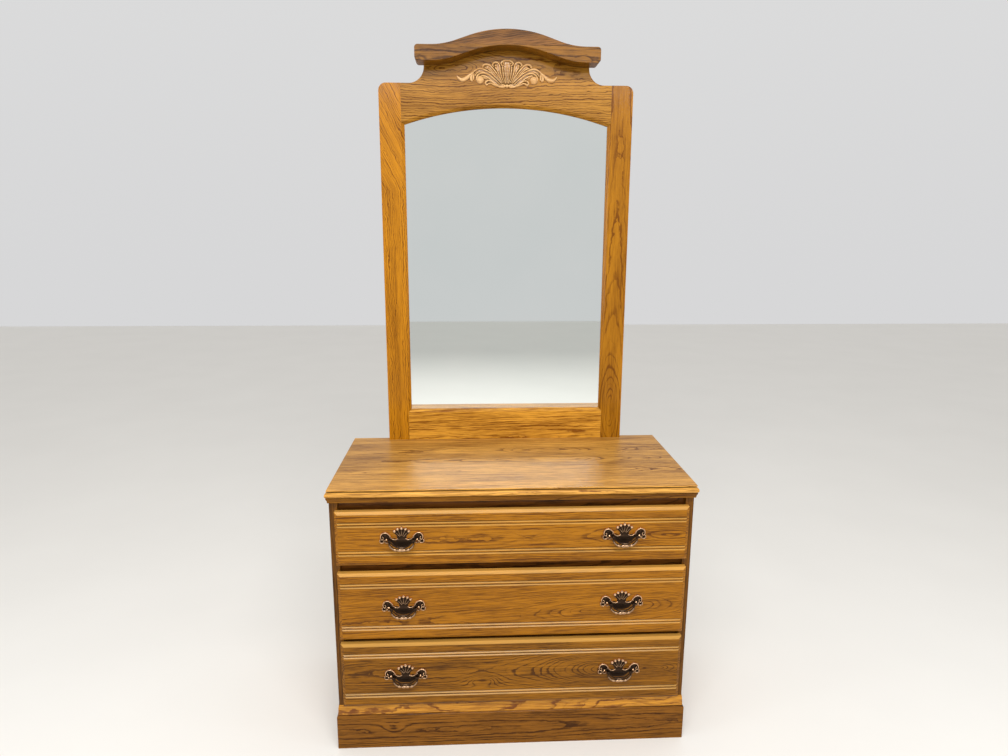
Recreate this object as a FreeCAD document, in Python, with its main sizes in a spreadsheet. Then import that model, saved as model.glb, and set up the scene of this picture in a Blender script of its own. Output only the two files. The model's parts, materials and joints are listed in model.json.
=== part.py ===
# Dresser: three lipped drawers with bail pulls under a moulded top, and a framed arched mirror
# with a cap crest and a carved shell. Millimetres. +Z is up, the drawers open towards -Y, and
# the origin is on the floor, under the middle of the whole dresser.
import FreeCAD, Part
import math
import os
import Sketcher

V = FreeCAD.Vector
doc = FreeCAD.newDocument("dresser")
sheet = doc.addObject("Spreadsheet::Sheet", "sizes")
nodes = {}


# Sizes: one row each, a name, a number and what it is
SIZES = (
    ("top_width", 1000, "top, over its rounded nose"),
    ("top_depth", 475, "top, rear edge to nose"),
    ("top_lip", 3, "height of the thin lip round the top's upper edge"),
    ("top_quirk", 3, "height of the groove under that lip"),
    ("top_nose", 16, "height of the rounded nose"),
    ("nose_flat", 1, "flat between the nose's two roundings"),
    ("lip_setback", 4.5, "lip behind the nose"),
    ("quirk_setback", 9, "groove's floor behind the nose"),
    ("side_overhang", 7, "nose beyond the case's side"),
    ("front_overhang", 20, "nose beyond the case's front"),
    ("cove_height", 13.5, "moulding under the top"),
    ("cove_step", 1.5, "flat step above the cove"),
    ("cove_head", 2.5, "cove's upper edge behind the nose"),
    ("cove_reach", 1, "cove's lower edge beyond the case's side"),
    ("cove_radius", 22, "hollow of the cove"),
    ("side_thick", 19, "side panel"),
    ("stile_width", 22, "stile at the side panel's front edge"),
    ("stile_depth", 20, "stile, front to back"),
    ("rail_thick", 20, "rails between the drawers, front to back"),
    ("rail_recess", 13, "rails behind the case's front"),
    ("back_thick", 5, "case back panel"),
    ("plinth_height", 106, "plinth"),
    ("plinth_thick", 20, "plinth boards"),
    ("plinth_reach", 7, "plinth beyond the case, at the sides and the front"),
    ("plinth_round", 6, "rounding of the plinth's upper outer edge"),
    ("foot_height", 31, "moulding round the case's foot"),
    ("foot_reach", 3, "that moulding beyond the case, at its lower edge"),
    ("foot_head", 1, "that moulding beyond the case, at its upper edge"),
    ("foot_radius", 160, "bulge of that moulding"),
    ("block_size", 30, "glue blocks in the plinth's corners"),
    ("block_setback", 26, "glue blocks above the floor"),
    ("base_gap", 7, "foot moulding to the lower drawer's front"),
    ("lower_front", 194, "height of the lower drawer's front"),
    ("lower_gap", 15, "lower to middle drawer's front"),
    ("middle_front", 197, "height of the middle drawer's front"),
    ("upper_gap", 24.5, "middle to upper drawer's front"),
    ("upper_front", 153, "height of the upper drawer's front"),
    ("top_gap", 25, "upper drawer's front to the moulding under the top"),
    ("rail_lap", 8, "drawer fronts over the rails"),
    ("stile_lap", 6.5, "drawer fronts over the stiles"),
    ("front_clear", 0.5, "drawer fronts ahead of the case's front"),
    ("front_thick", 19, "drawer front"),
    ("bevel_width", 8, "bevel round the drawer front's face"),
    ("bevel_depth", 4, "bevel, front to back"),
    ("field_step", 1.2, "flat field ahead of the bevel"),
    ("groove_inset", 35.5, "middle of each pair of grooves from the front's edge"),
    ("groove_pitch", 8.5, "between the two grooves of a pair"),
    ("groove_width", 6.5, "mouth of each groove"),
    ("box_end_gap", 10.5, "drawer box to the rails behind it"),
    ("box_side", 12, "drawer sides"),
    ("box_back", 12, "drawer back"),
    ("box_floor", 5, "drawer bottom"),
    ("box_gap", 3.5, "drawer box to the stile, each side"),
    ("box_lift", 0.3, "running gap under the drawer box"),
    ("box_headroom", 14, "drawer box under the opening's top"),
    ("floor_inset", 10, "drawer sides below the bottom's groove"),
    ("floor_groove", 6, "depth of that groove"),
    ("floor_play", 0.2, "bottom's play in its groove"),
    ("runner_width", 25, "drawer runner"),
    ("runner_height", 20, "drawer runner, up and down"),
    ("cleat_height", 46, "rear rail under the top"),
    ("pull_offset", 300, "pulls from the middle of the dresser"),
    ("post_spacing", 64, "between a pull's two posts"),
    ("post_radius", 5, "pull's post"),
    ("axis_reach", 15.5, "bail's hinge line ahead of the drawer front"),
    ("post_cap", 3.5, "post beyond the hinge line"),
    ("eye_width", 3.3, "bail's eye"),
    ("eye_radius", 3.2, "bail's eye, outside"),
    ("eye_play", 0.4, "slot's floor to the eye"),
    ("eye_side_play", 0.25, "slot's walls to the eye"),
    ("pin_radius", 1.25, "hinge pin"),
    ("pin_play", 0.08, "pin to the eye's bore"),
    ("neck_clear", 2.5, "post's side to the bail's full arm"),
    ("neck_inset", 0.15, "bail's thin neck in from its eye's faces"),
    ("bail_rod", 3, "radius of the bail's rod"),
    ("bail_drop", 31, "hinge line to the rod's bottom run"),
    ("arm_straight", 12, "hinge line to the bail's corners"),
    ("bead_large", 4.9, "two middle beads on the bail"),
    ("bead_small", 4.4, "two outer beads on the bail"),
    ("bead_pitch", 11, "between beads on the bail"),
    ("plate_thick", 2.5, "pull's plate"),
    ("fan_height", 4, "root of the plate's fan above the hinge line"),
    ("fan_length", 27.5, "fan's root to its beads"),
    ("fan_bead", 4, "radius of the fan's beads"),
    ("fan_angle", 24, "degrees between the fan's ribs"),
    ("fan_root", 12, "half width of the fan's neck"),
    ("plate_point", 17, "plate's lower point below the hinge line"),
    ("wing_reach", 12, "middle of each side scroll beyond its post"),
    ("wing_height", 3, "middle of each side scroll above the hinge line"),
    ("wing_radius", 14.5, "side scroll, outside"),
    ("wing_band", 4.5, "width of the scroll's band"),
    ("wing_bead", 3.6, "beads on the scroll"),
    ("screw_radius", 2, "pull screws"),
    ("screw_head", 4, "radius of the pull screws' heads"),
    ("screw_head_height", 2.4, "height of those heads"),
    ("screw_grip", 8, "pull screw inside its post"),
    ("screw_clear", 0.1, "pull screw in the drawer front"),
    ("mirror_width", 760, "mirror frame over its posts"),
    ("post_face", 65, "width of the frame's posts"),
    ("sill_height", 93, "frame's lower rail"),
    ("arch_foot", 985.5, "top's surface to the arch's ends"),
    ("shoulder_rise", 110, "arch's ends to the frame's shoulders"),
    ("shoulder_round", 22, "shoulders' outer corners"),
    ("shoulder_ledge", 24, "flat of the head's shoulders beside the posts"),
    ("arch_rise", 52.5, "rise of the arch"),
    ("lip_width", 9, "frame's inner lip"),
    ("lip_bevel", 7, "depth of the lip's bevel"),
    ("lip_thick", 10, "lip, front to back"),
    ("neck_round", 46, "hollow from shoulder to head"),
    ("crest_rise", 134, "shoulders to the crest's peak"),
    ("crest_over", 22, "crest beyond the head at its sides"),
    ("crest_flat", 42, "level ends of the crest"),
    ("crest_height", 42, "crest, up and down"),
    ("crest_depth", 66, "crest ahead of the frame's face"),
    ("crown_radius", 350, "crest's middle curve"),
    ("slope_width", 38, "straight slope beside it"),
    ("sweep_radius", 234, "hollow curve out to the level ends"),
    ("crest_round", 9, "crest's end corners"),
    ("head_setdown", 8, "frame's head below the crest's top"),
    ("glass_thick", 4, "mirror glass"),
    ("glass_play", 1, "glass in its rebate"),
    ("board_thick", 4, "board behind the glass"),
    ("stop_width", 8, "strips that hold the glass"),
    ("stop_thick", 3, "those strips, front to back"),
    ("support_width", 60, "uprights behind the mirror"),
    ("support_thick", 19, "those uprights, front to back"),
    ("support_inset", 3, "uprights in from the frame's edge"),
    ("support_above", 700, "uprights above the top's surface"),
    ("support_end", 44.5, "uprights beyond their lowest and highest screws"),
    ("bolt_radius", 2.5, "screws through the uprights"),
    ("bolt_head", 5, "radius of their sunk heads"),
    ("bolt_head_depth", 2.5, "depth of those heads"),
    ("bolt_grip", 13, "those screws beyond the uprights"),
    ("shell_rise", 51, "arch's peak to the shell's root"),
    ("shell_length", 58, "shell's root to the middle lobe's end"),
    ("shell_lobe", 9.5, "radius of the lobes' ends"),
    ("shell_root", 4, "radius of the lobes' roots"),
    ("shell_angle", 23, "degrees between lobes"),
    ("shell_span", 147, "middle to the tip of each side leaf"),
    ("shell_tip_rise", 30, "tips above the shell's root"),
    ("overrun", 5, "tools run past what they cut"),
)


class Size:
    """A number worked out from the sheet, with the formula that gives it there."""

    def __init__(self, value, formula):
        self.value = value
        self.formula = formula

    def __add__(self, other):
        other = as_size(other)
        return Size(self.value + other.value, f"({self.formula} + {other.formula})")

    def __radd__(self, other):
        return as_size(other) + self

    def __sub__(self, other):
        other = as_size(other)
        return Size(self.value - other.value, f"({self.formula} - {other.formula})")

    def __rsub__(self, other):
        return as_size(other) - self

    def __mul__(self, other):
        other = as_size(other)
        return Size(self.value * other.value, f"({self.formula} * {other.formula})")

    def __rmul__(self, other):
        return as_size(other) * self

    def __truediv__(self, other):
        other = as_size(other)
        return Size(self.value / other.value, f"({self.formula} / {other.formula})")

    def __neg__(self):
        return Size(-self.value, f"(0 - {self.formula})")

    def __float__(self):
        return float(self.value)


def as_size(thing):
    if isinstance(thing, Size):
        return thing
    return Size(float(thing), repr(thing))


def root(size):
    return Size(math.sqrt(size.value), f"sqrt({size.formula})")


class Values:
    """The sheet's sizes by name, such as s.top_width."""


def fill_sheet():
    values = Values()
    for row, (name, number, meaning) in enumerate(SIZES, start=1):
        sheet.set(f"A{row}", meaning)
        sheet.set(f"B{row}", str(number))
        sheet.setAlias(f"B{row}", name)
        setattr(values, name, Size(float(number), f"sizes.{name}"))
    doc.recompute()
    return values


s = fill_sheet()
ZERO = Size(0.0, "0")

# Places that several pieces share
front_reach = (s.top_depth - s.front_overhang + s.front_clear + s.front_thick
               + s.axis_reach + s.bead_large)
rear = (front_reach - s.support_thick) / 2
case_half = s.top_width / 2 - s.side_overhang
case_depth = s.top_depth - s.front_overhang
case_front = rear - case_depth
inner_half = case_half - s.side_thick
opening_half = case_half - s.stile_width
case_foot = s.plinth_height
front_back = case_front - s.front_clear
front_face = front_back - s.front_thick
rail_front = case_front + s.rail_recess
rail_back = rail_front + s.rail_thick
lower_bottom = case_foot + s.foot_height + s.base_gap
middle_bottom = lower_bottom + s.lower_front + s.lower_gap
upper_bottom = middle_bottom + s.middle_front + s.upper_gap
moulding_foot = upper_bottom + s.upper_front + s.top_gap
case_top = moulding_foot + s.cove_height
top_height = case_top + s.top_nose + s.top_quirk + s.top_lip
box_end = rear - s.back_thick - s.rail_thick - s.box_end_gap
frame_thick = s.lip_thick + s.glass_thick + s.board_thick + s.stop_thick
frame_front = rear - frame_thick
mirror_half = s.mirror_width / 2
sight_half = mirror_half - s.post_face
DRAWERS = (
    ("lower", lower_bottom, s.lower_front),
    ("middle", middle_bottom, s.middle_front),
    ("upper", upper_bottom, s.upper_front),
)
SIDES = (("left", -1), ("right", 1))


# Helpers: bound objects of the document
def bind(thing, prop, size):
    thing.setExpression(prop, as_size(size).formula)


def put(thing, x, y, z):
    bind(thing, "Placement.Base.x", x)
    bind(thing, "Placement.Base.y", y)
    bind(thing, "Placement.Base.z", z)


def keep(name, thing):
    """Makes thing the node called name."""
    thing.Label = name
    nodes[name] = thing
    return thing


def board(name, width, depth, height, x, y, z):
    """A square board; x, y and z are its lowest corner."""
    box = doc.addObject("Part::Box", name)
    bind(box, "Length", width)
    bind(box, "Width", depth)
    bind(box, "Height", height)
    put(box, x, y, z)
    return box


def between(name, x_range, y_range, z_range):
    """A square board from its two limits each way."""
    return board(name, x_range[1] - x_range[0], y_range[1] - y_range[0], z_range[1] - z_range[0],
                 x_range[0], y_range[0], z_range[0])


def rod(name, radius, length, start, axis):
    """A cylinder from start along axis, X or Y."""
    cylinder = doc.addObject("Part::Cylinder", name)
    bind(cylinder, "Radius", radius)
    bind(cylinder, "Height", length)
    cylinder.Placement.Rotation = FreeCAD.Rotation(V(0, 0, 1), axis)
    put(cylinder, *start)
    return cylinder


def cut(name, base, tools):
    result = doc.addObject("Part::Cut", name)
    result.Base = base
    result.Tool = tools[0] if len(tools) == 1 else fuse(name + "_tools", tools)
    return result


def fuse(name, pieces):
    result = doc.addObject("Part::MultiFuse", name)
    result.Shapes = pieces
    result.Refine = True
    return result


def group(name, pieces):
    """Separate solids that share one node."""
    result = doc.addObject("Part::Compound", name)
    result.Links = pieces
    return result


def shaped(name, shape):
    """A piece whose shape is made here from the sheet's sizes."""
    feature = doc.addObject("Part::Feature", name)
    feature.Shape = shape
    feature.Placement = FreeCAD.Placement()
    return feature


def arc_centre(start, end, radius):
    """Centre of the arc from start to end; a positive radius runs counter-clockwise."""
    chord = end - start
    height = math.sqrt(max(radius ** 2 - (chord.Length / 2) ** 2, 0))
    left = V(-chord.y, chord.x, 0).normalize()
    return (start + end) * 0.5 + left * math.copysign(height, radius)


def add_arc(sketch, start, end, radius):
    """Adds the arc and gives its index and which of its ends is at start."""
    centre = arc_centre(start, end, radius.value)
    first, last = (start, end) if radius.value > 0 else (end, start)
    from_angle = math.atan2(first.y - centre.y, first.x - centre.x)
    to_angle = math.atan2(last.y - centre.y, last.x - centre.x)
    circle = Part.Circle(centre, V(0, 0, 1), abs(radius.value))
    index = sketch.addGeometry(Part.ArcOfCircle(circle, from_angle, to_angle), False)
    drive(sketch, Sketcher.Constraint("Radius", index, abs(radius.value)), abs_size(radius))
    return index, 1 if radius.value > 0 else 2


def abs_size(size):
    return size if size.value > 0 else -size


def drive(sketch, constraint, size):
    number = sketch.addConstraint(constraint)
    sketch.setExpression(f"Constraints[{number}]", size.formula)


def outline(body, name, plane, corners):
    """A closed sketch. Each corner is (across, up) or (across, up, radius), where the radius
    makes an arc arrive there: positive turns counter-clockwise, negative clockwise."""
    sketch = body.newObject("Sketcher::SketchObject", name)
    for feature in body.Origin.OriginFeatures:
        if feature.Role == plane:
            sketch.AttachmentSupport = (feature, [""])
    sketch.MapMode = "FlatFace"
    corners = [tuple(as_size(part) for part in corner) for corner in corners]
    places = [V(corner[0].value, corner[1].value, 0) for corner in corners]
    edges = []
    for number, corner in enumerate(corners):
        start = places[number - 1]
        if len(corner) == 3:
            edges.append(add_arc(sketch, start, places[number], corner[2]))
        else:
            line = Part.LineSegment(start, places[number])
            edges.append((sketch.addGeometry(line, False), 1))
    for number, (edge, start_end) in enumerate(edges):
        before, before_start = edges[number - 1]
        sketch.addConstraint(Sketcher.Constraint("Coincident", before, 3 - before_start, edge, start_end))
        across, up = corners[number - 1][:2]
        drive(sketch, Sketcher.Constraint("DistanceX", -1, 1, edge, start_end, across.value), across)
        drive(sketch, Sketcher.Constraint("DistanceY", -1, 1, edge, start_end, up.value), up)
    return sketch


def pad(body, name, sketch, length, backwards=False):
    feature = body.newObject("PartDesign::Pad", name)
    feature.Profile = sketch
    bind(feature, "Length", length)
    feature.Reversed = backwards
    body.Tip = feature
    return feature


def new_body(name):
    return doc.addObject("PartDesign::Body", name)


def panel(name, corners, thickness, y):
    """An upright panel: an outline seen from the front, padded backwards from y."""
    body = new_body(name)
    pad(body, name + "_pad", outline(body, name + "_outline", "XZ_Plane", corners), thickness, True)
    put(body, ZERO, y, ZERO)
    return body


def mitre_tool(name, side, beyond, corner_y, z, height):
    """A block whose face stands at 45 degrees through a corner of the case.

    It takes away the side strip's part where beyond is 1, and the front strip's where it is -1."""
    reach = s.front_overhang + s.side_overhang + s.plinth_thick + s.overrun
    turn = 45 if side > 0 else 135
    if beyond < 0:
        turn += 180
    along = math.radians(turn + 90)
    x = side * case_half - reach * math.cos(along)
    y = corner_y - reach * math.sin(along)
    block = board(name, reach, 2 * reach, height + 2 * s.overrun, x, y, z - s.overrun)
    block.Placement = FreeCAD.Placement(V(), FreeCAD.Rotation(V(0, 0, 1), turn))
    return block


def mitred_strips(name, profile, z, height, ahead):
    """Three strips of one section round the front and sides of the case, mitred at its corners.

    profile gives each corner as (out from the case, up from z) with its inner corners first and
    last; the front strip lies ahead of the case's front by ahead."""
    corner_y = case_front - ahead
    widest = s.top_width + 2 * s.overrun
    front = new_body(name + "_front_strip")
    rows = [(-corner[0], corner[1] + z) + tuple(-part for part in corner[2:]) for corner in profile]
    pad(front, name + "_front_pad", outline(front, name + "_front_outline", "YZ_Plane", rows), widest)
    put(front, -widest / 2, corner_y, ZERO)
    tools = [mitre_tool(f"{name}_front_mitre_{word}", side, 1, corner_y, z, height)
             for word, side in SIDES]
    strips = {"front": cut(name + "_front_cut", front, tools)}
    for word, side in SIDES:
        body = new_body(f"{name}_{word}_strip")
        rows = [(side * corner[0], corner[1] + z) + tuple(side * part for part in corner[2:])
                for corner in profile]
        sketch = outline(body, f"{name}_{word}_outline", "XZ_Plane", rows)
        length = rear - corner_y + s.front_overhang
        pad(body, f"{name}_{word}_pad", sketch, length, True)
        put(body, side * case_half, rear - length, ZERO)
        tool = mitre_tool(f"{name}_{word}_mitre", side, -1, corner_y, z, height)
        strips[word] = cut(f"{name}_{word}_cut", body, [tool])
    return strips


def across(side, low, high):
    """The limits along X of a piece between low and high on the right, or mirrored on the left."""
    return (low, high) if side > 0 else (-high, -low)


# Top: a slab with a thin lip, a groove and a rounded nose, over a coved moulding
def slab_layer(name, setback, z, height):
    half = s.top_width / 2 - setback
    return between(name, (-half, half), (rear - s.top_depth + setback, rear), (z, z + height))


def nose_edges(shape):
    """The nose's upper and lower edges along the front and the two sides."""
    box = shape.BoundBox
    names = []
    for number, edge in enumerate(shape.Edges, start=1):
        level = edge.BoundBox.ZLength < box.ZLength / 2
        at_rear = edge.BoundBox.YMin > box.Center.y
        if level and not at_rear:
            names.append(f"Edge{number}")
    return names


def top_panel():
    half = s.top_width / 2
    body = new_body("top_nose_body")
    corners = ((-half, -s.top_depth), (half, -s.top_depth), (half, ZERO), (-half, ZERO))
    base = pad(body, "top_nose_pad", outline(body, "top_nose_outline", "XY_Plane", corners), s.top_nose)
    put(body, ZERO, rear, case_top)
    doc.recompute()
    rounding = body.newObject("PartDesign::Fillet", "top_nose_round")
    rounding.Base = (base, nose_edges(base.Shape))
    bind(rounding, "Radius", (s.top_nose - s.nose_flat) / 2)
    body.Tip = rounding
    quirk = slab_layer("top_quirk_layer", s.quirk_setback, case_top + s.top_nose, s.top_quirk)
    lip = slab_layer("top_lip_layer", s.lip_setback, top_height - s.top_lip, s.top_lip)
    keep("top_panel", fuse("top_panel", [body, quirk, lip]))


def top_moulding():
    head = s.side_overhang - s.cove_head
    profile = (
        (ZERO, ZERO),
        (s.cove_reach, ZERO),
        (head, s.cove_height - s.cove_step, -s.cove_radius),
        (head, s.cove_height),
        (ZERO, s.cove_height),
    )
    ahead = s.front_overhang - s.side_overhang
    strips = mitred_strips("cove", profile, moulding_foot, s.cove_height, ahead)
    filler = between("cove_filler", (-case_half, case_half), (case_front - ahead, case_front),
                     (moulding_foot, case_top))
    front = fuse("cove_front", [strips["front"], filler])
    keep("top_moulding", group("top_moulding", [front, strips["left"], strips["right"]]))


# Case: panels, stiles, rails and the runners that carry the drawers
def case_panels():
    back = (rear - s.back_thick, rear)
    height = (case_foot, case_top)
    for word, side in SIDES:
        keep("side_panel_" + word, between("side_panel_" + word, across(side, inner_half, case_half),
                                           (case_front + s.stile_depth, rear), height))
        keep("stile_" + word, between("stile_" + word, across(side, opening_half, case_half),
                                      (case_front, case_front + s.stile_depth), height))
    return between("back_board", (-inner_half, inner_half), back, height)


def case_rails():
    width = (-opening_half, opening_half)
    depth = (rail_front, rail_back)
    lap = s.rail_lap
    levels = (
        ("bottom_rail", case_foot, lower_bottom + lap),
        ("lower_divider_rail", lower_bottom + s.lower_front - lap, middle_bottom + lap),
        ("upper_divider_rail", middle_bottom + s.middle_front - lap, upper_bottom + lap),
        ("top_rail", upper_bottom + s.upper_front - lap, case_top),
    )
    for name, low, high in levels:
        keep(name, between(name, width, depth, (low, high)))


def runner_range():
    return (rail_back, rear - s.back_thick - s.rail_thick)


def drawer_runners():
    runners = []
    for word, bottom, height in DRAWERS:
        high = bottom + s.rail_lap
        for hand, side in SIDES:
            width = across(side, inner_half - s.runner_width, inner_half)
            runners.append(between(f"{word}_runner_{hand}", width, runner_range(),
                                   (high - s.runner_height, high)))
    keep("drawer_runners", group("drawer_runners", runners))


def rear_rail_depth():
    return (rear - s.back_thick - s.rail_thick, rear - s.back_thick)


def rear_rails(screws):
    """A rail behind each pair of runners, and a cleat under the top."""
    width = (-inner_half, inner_half)
    rails = []
    for word, bottom, height in DRAWERS:
        high = bottom + s.rail_lap
        rail = between(word + "_rear_rail", width, rear_rail_depth(), (high - s.runner_height, high))
        rails.append(cut("upper_rear_rail_drilled", rail, [screws]) if word == "upper" else rail)
    keep("rear_rails", group("rear_rails", rails))
    cleat = between("cleat_board", width, rear_rail_depth(), (case_top - s.cleat_height, case_top))
    keep("top_rear_rail", cut("top_rear_rail", cleat, [screws]))


# Foot: a mitred plinth with glue blocks, and a thin moulding over its joint with the case
def plinth():
    out = s.plinth_reach
    back = out - s.plinth_thick
    profile = (
        (back, ZERO),
        (out, ZERO),
        (out, s.plinth_height - s.plinth_round),
        (out - s.plinth_round, s.plinth_height, s.plinth_round),
        (back, s.plinth_height),
    )
    strips = mitred_strips("plinth", profile, ZERO, s.plinth_height, ZERO)
    for word in ("front", "left", "right"):
        keep("plinth_" + word, strips[word])
    half = case_half - s.plinth_thick + s.plinth_reach
    keep("plinth_back", between("plinth_back", (-half, half), (rear - s.plinth_thick, rear),
                                (ZERO, s.plinth_height)))
    plinth_blocks(half)


def plinth_blocks(half):
    front = case_front - s.plinth_reach + s.plinth_thick
    back = rear - s.plinth_thick
    height = (s.block_setback, s.plinth_height)
    blocks = []
    for word, side in SIDES:
        width = across(side, half - s.block_size, half)
        blocks.append(between("front_block_" + word, width, (front, front + s.block_size), height))
        blocks.append(between("rear_block_" + word, width, (back - s.block_size, back), height))
    keep("glue_blocks", group("glue_blocks", blocks))


def foot_moulding():
    profile = (
        (ZERO, ZERO),
        (s.foot_reach, ZERO),
        (s.foot_head, s.foot_height, s.foot_radius),
        (ZERO, s.foot_height),
    )
    strips = mitred_strips("foot", profile, case_foot, s.foot_height, ZERO)
    keep("foot_moulding", group("foot_moulding", list(strips.values())))


# Drawers: a bevelled front with two pairs of grooves, and a box with a grooved-in bottom
def drawer_front(word, bottom, height, floor_low):
    half = opening_half + s.stile_lap
    top = bottom + height
    step = front_face + s.field_step
    shoulder = step + s.bevel_depth
    blank = between(word + "_front_blank", (-half, half), (shoulder, front_back), (bottom, top))
    inset = s.bevel_width
    field = between(word + "_front_field", (inset - half, half - inset), (front_face, step),
                    (bottom + inset, top - inset))
    bevel = doc.addObject("Part::Wedge", word + "_front_bevel")
    limits = (("Ymin", ZERO), ("Ymax", s.bevel_depth), ("Xmin", inset), ("Xmax", 2 * half - inset),
              ("Zmin", inset), ("Zmax", height - inset), ("X2min", ZERO), ("X2max", 2 * half),
              ("Z2min", ZERO), ("Z2max", height))
    for limit, size in limits:
        bind(bevel, limit, size)
    put(bevel, -half, step, bottom)
    solid = fuse(word + "_front_solid", [blank, bevel, field])
    tools = front_grooves(word, bottom, height, half) + pull_holes(word, bottom + height / 2)
    tools.append(floor_slot(word + "_front_slot", floor_low))
    keep(f"{word}_drawer_front", cut(f"{word}_drawer_front", solid, tools))


def front_grooves(word, bottom, height, half):
    """V grooves: square bars that stand on edge in the front's face."""
    bars = []
    bar = s.groove_width / root(as_size(2))
    for place, middle in (("low", bottom + s.groove_inset), ("high", bottom + height - s.groove_inset)):
        for order in (-1, 1):
            z = middle + order * s.groove_pitch / 2 - s.groove_width / 2
            piece = board(f"{word}_groove_{place}_{order + 1}", 2 * (half + s.overrun), bar, bar,
                          -half - s.overrun, front_face, z)
            piece.Placement = FreeCAD.Placement(V(), FreeCAD.Rotation(V(1, 0, 0), 45))
            bars.append(piece)
    return bars


def post_places():
    """Places along X of a drawer's four pull posts."""
    return [side * s.pull_offset + end * s.post_spacing / 2 for _, side in SIDES for end in (-1, 1)]


def pull_holes(word, z):
    holes = []
    for number, x in enumerate(post_places(), start=1):
        holes.append(rod(f"{word}_pull_hole_{number}", s.screw_radius + s.screw_clear,
                         s.front_thick + 2 * s.overrun, (x, front_back + s.overrun, z), V(0, -1, 0)))
    return holes


def box_inner():
    return opening_half - s.box_gap - s.box_side


def floor_slot(name, floor_low):
    """The groove for a drawer's bottom: the bottom and its play, cut into sides and front."""
    half = box_inner() + s.floor_groove
    play = s.floor_play
    return between(name, (-half, half), (front_back - s.floor_groove, box_end + s.overrun),
                   (floor_low - play, floor_low + s.box_floor + play))


def drawer_box(word, bottom, height, floor_low):
    low = bottom + s.rail_lap + s.box_lift
    high = bottom + height - s.rail_lap - s.box_headroom
    inner = box_inner()
    for hand, side in SIDES:
        name = f"{word}_drawer_side_{hand}"
        width = across(side, inner, inner + s.box_side)
        blank = between(name + "_board", width, (front_back, box_end), (low, high))
        keep(name, cut(name, blank, [floor_slot(name + "_slot", floor_low)]))
    floor_half = inner + s.floor_groove - s.floor_play
    floor_start = front_back - s.floor_groove + s.floor_play
    floor_top = floor_low + s.box_floor
    name = f"{word}_drawer_bottom"
    keep(name, between(name, (-floor_half, floor_half), (floor_start, box_end), (floor_low, floor_top)))
    name = f"{word}_drawer_back"
    keep(name, between(name, (-inner, inner), (box_end - s.box_back, box_end), (floor_top, high)))


# Pulls: a pierced plate with a beaded fan, two side scrolls, two slotted posts and a bail
FAN_COUNT = 5
RIB_ROOT_SHARE = 0.5
RIB_TIP_SHARE = 0.85
NECK_TOP_SHARE = 0.75
PIN_SHARE = 0.9
BODY_SHARES = ((-1.0, -0.3), (-0.55, -0.62), (0.0, -1.0), (0.55, -0.62), (1.0, -0.3),
               (1.0, 0.32), (0.5, 0.3), (-0.5, 0.3), (-1.0, 0.32))


def plate_piece(points, thick):
    """A flat piece standing on the drawer's face, from corners (across, up)."""
    corners = [V(x, 0, z) for x, z in points]
    return Part.Face(Part.makePolygon(corners + corners[:1])).extrude(V(0, -thick, 0))


def bead(radius, x, z, thick):
    return Part.makeSphere(radius, V(x, -thick / 2, z), V(0, -1, 0), 0, 90, 360)


def pull_fan(thick):
    """Ribs from one root, each with a bead at its end, on a neck."""
    start = s.fan_height.value
    ribs = []
    for number in range(FAN_COUNT):
        angle = math.radians((number - (FAN_COUNT - 1) / 2) * s.fan_angle.value)
        along = V(math.sin(angle), 0, math.cos(angle))
        aside = V(along.z, 0, -along.x)
        tip = V(0, 0, start) + along * s.fan_length.value
        near = aside * (s.fan_bead.value * RIB_ROOT_SHARE)
        far = aside * (s.fan_bead.value * RIB_TIP_SHARE)
        low = V(0, 0, start)
        corners = [low - near, tip - far, tip + far, low + near]
        ribs.append(plate_piece([(point.x, point.z) for point in corners], thick))
        ribs.append(bead(s.fan_bead.value, tip.x, tip.z, thick))
    half = s.fan_root.value
    shoulder = start + half * NECK_TOP_SHARE
    ribs.append(plate_piece([(-half, 0), (-half * NECK_TOP_SHARE, shoulder),
                             (half * NECK_TOP_SHARE, shoulder), (half, 0)], thick))
    return ribs


def pull_scroll(side, thick):
    """A ring with two beads beside the post."""
    x = side * float(s.post_spacing / 2 + s.wing_reach)
    z = s.wing_height.value
    outer = s.wing_radius.value
    inner = outer - s.wing_band.value
    ring = Part.makeCylinder(outer, thick, V(x, 0, z), V(0, -1, 0))
    ring = ring.cut(Part.makeCylinder(inner, thick, V(x, 0, z), V(0, -1, 0)))
    band = outer - s.wing_band.value / 2
    low_turn = math.radians(-35)
    size = s.wing_bead.value
    low_bead = bead(size, x + side * band * math.cos(low_turn), z + band * math.sin(low_turn), thick)
    inner_bead = bead(size, x - side * (inner - size / 2), z, thick)
    return [ring, low_bead, inner_bead]


slot_width = s.eye_width + 2 * s.eye_side_play
bail_bend = s.bail_drop - s.arm_straight
neck_length = s.post_radius + s.neck_clear


def pull_post(x):
    reach = s.axis_reach.value
    radius = s.post_radius.value
    length = reach + s.post_cap.value
    slot_start = reach - s.eye_radius.value - s.eye_play.value
    slot = slot_width.value
    post = Part.makeCylinder(radius, length, V(x, 0, 0), V(0, -1, 0))
    post = post.cut(Part.makeCylinder(s.screw_radius.value, s.screw_grip.value, V(x, 0, 0), V(0, -1, 0)))
    opening = Part.makeBox(slot, length, 2 * length, V(x - slot / 2, -slot_start - length, -length))
    pin = 2 * radius * PIN_SHARE
    hinge = Part.makeCylinder(s.pin_radius.value, pin, V(x - pin / 2, -reach, 0), V(1, 0, 0))
    return post.cut(opening).fuse(hinge)


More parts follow.
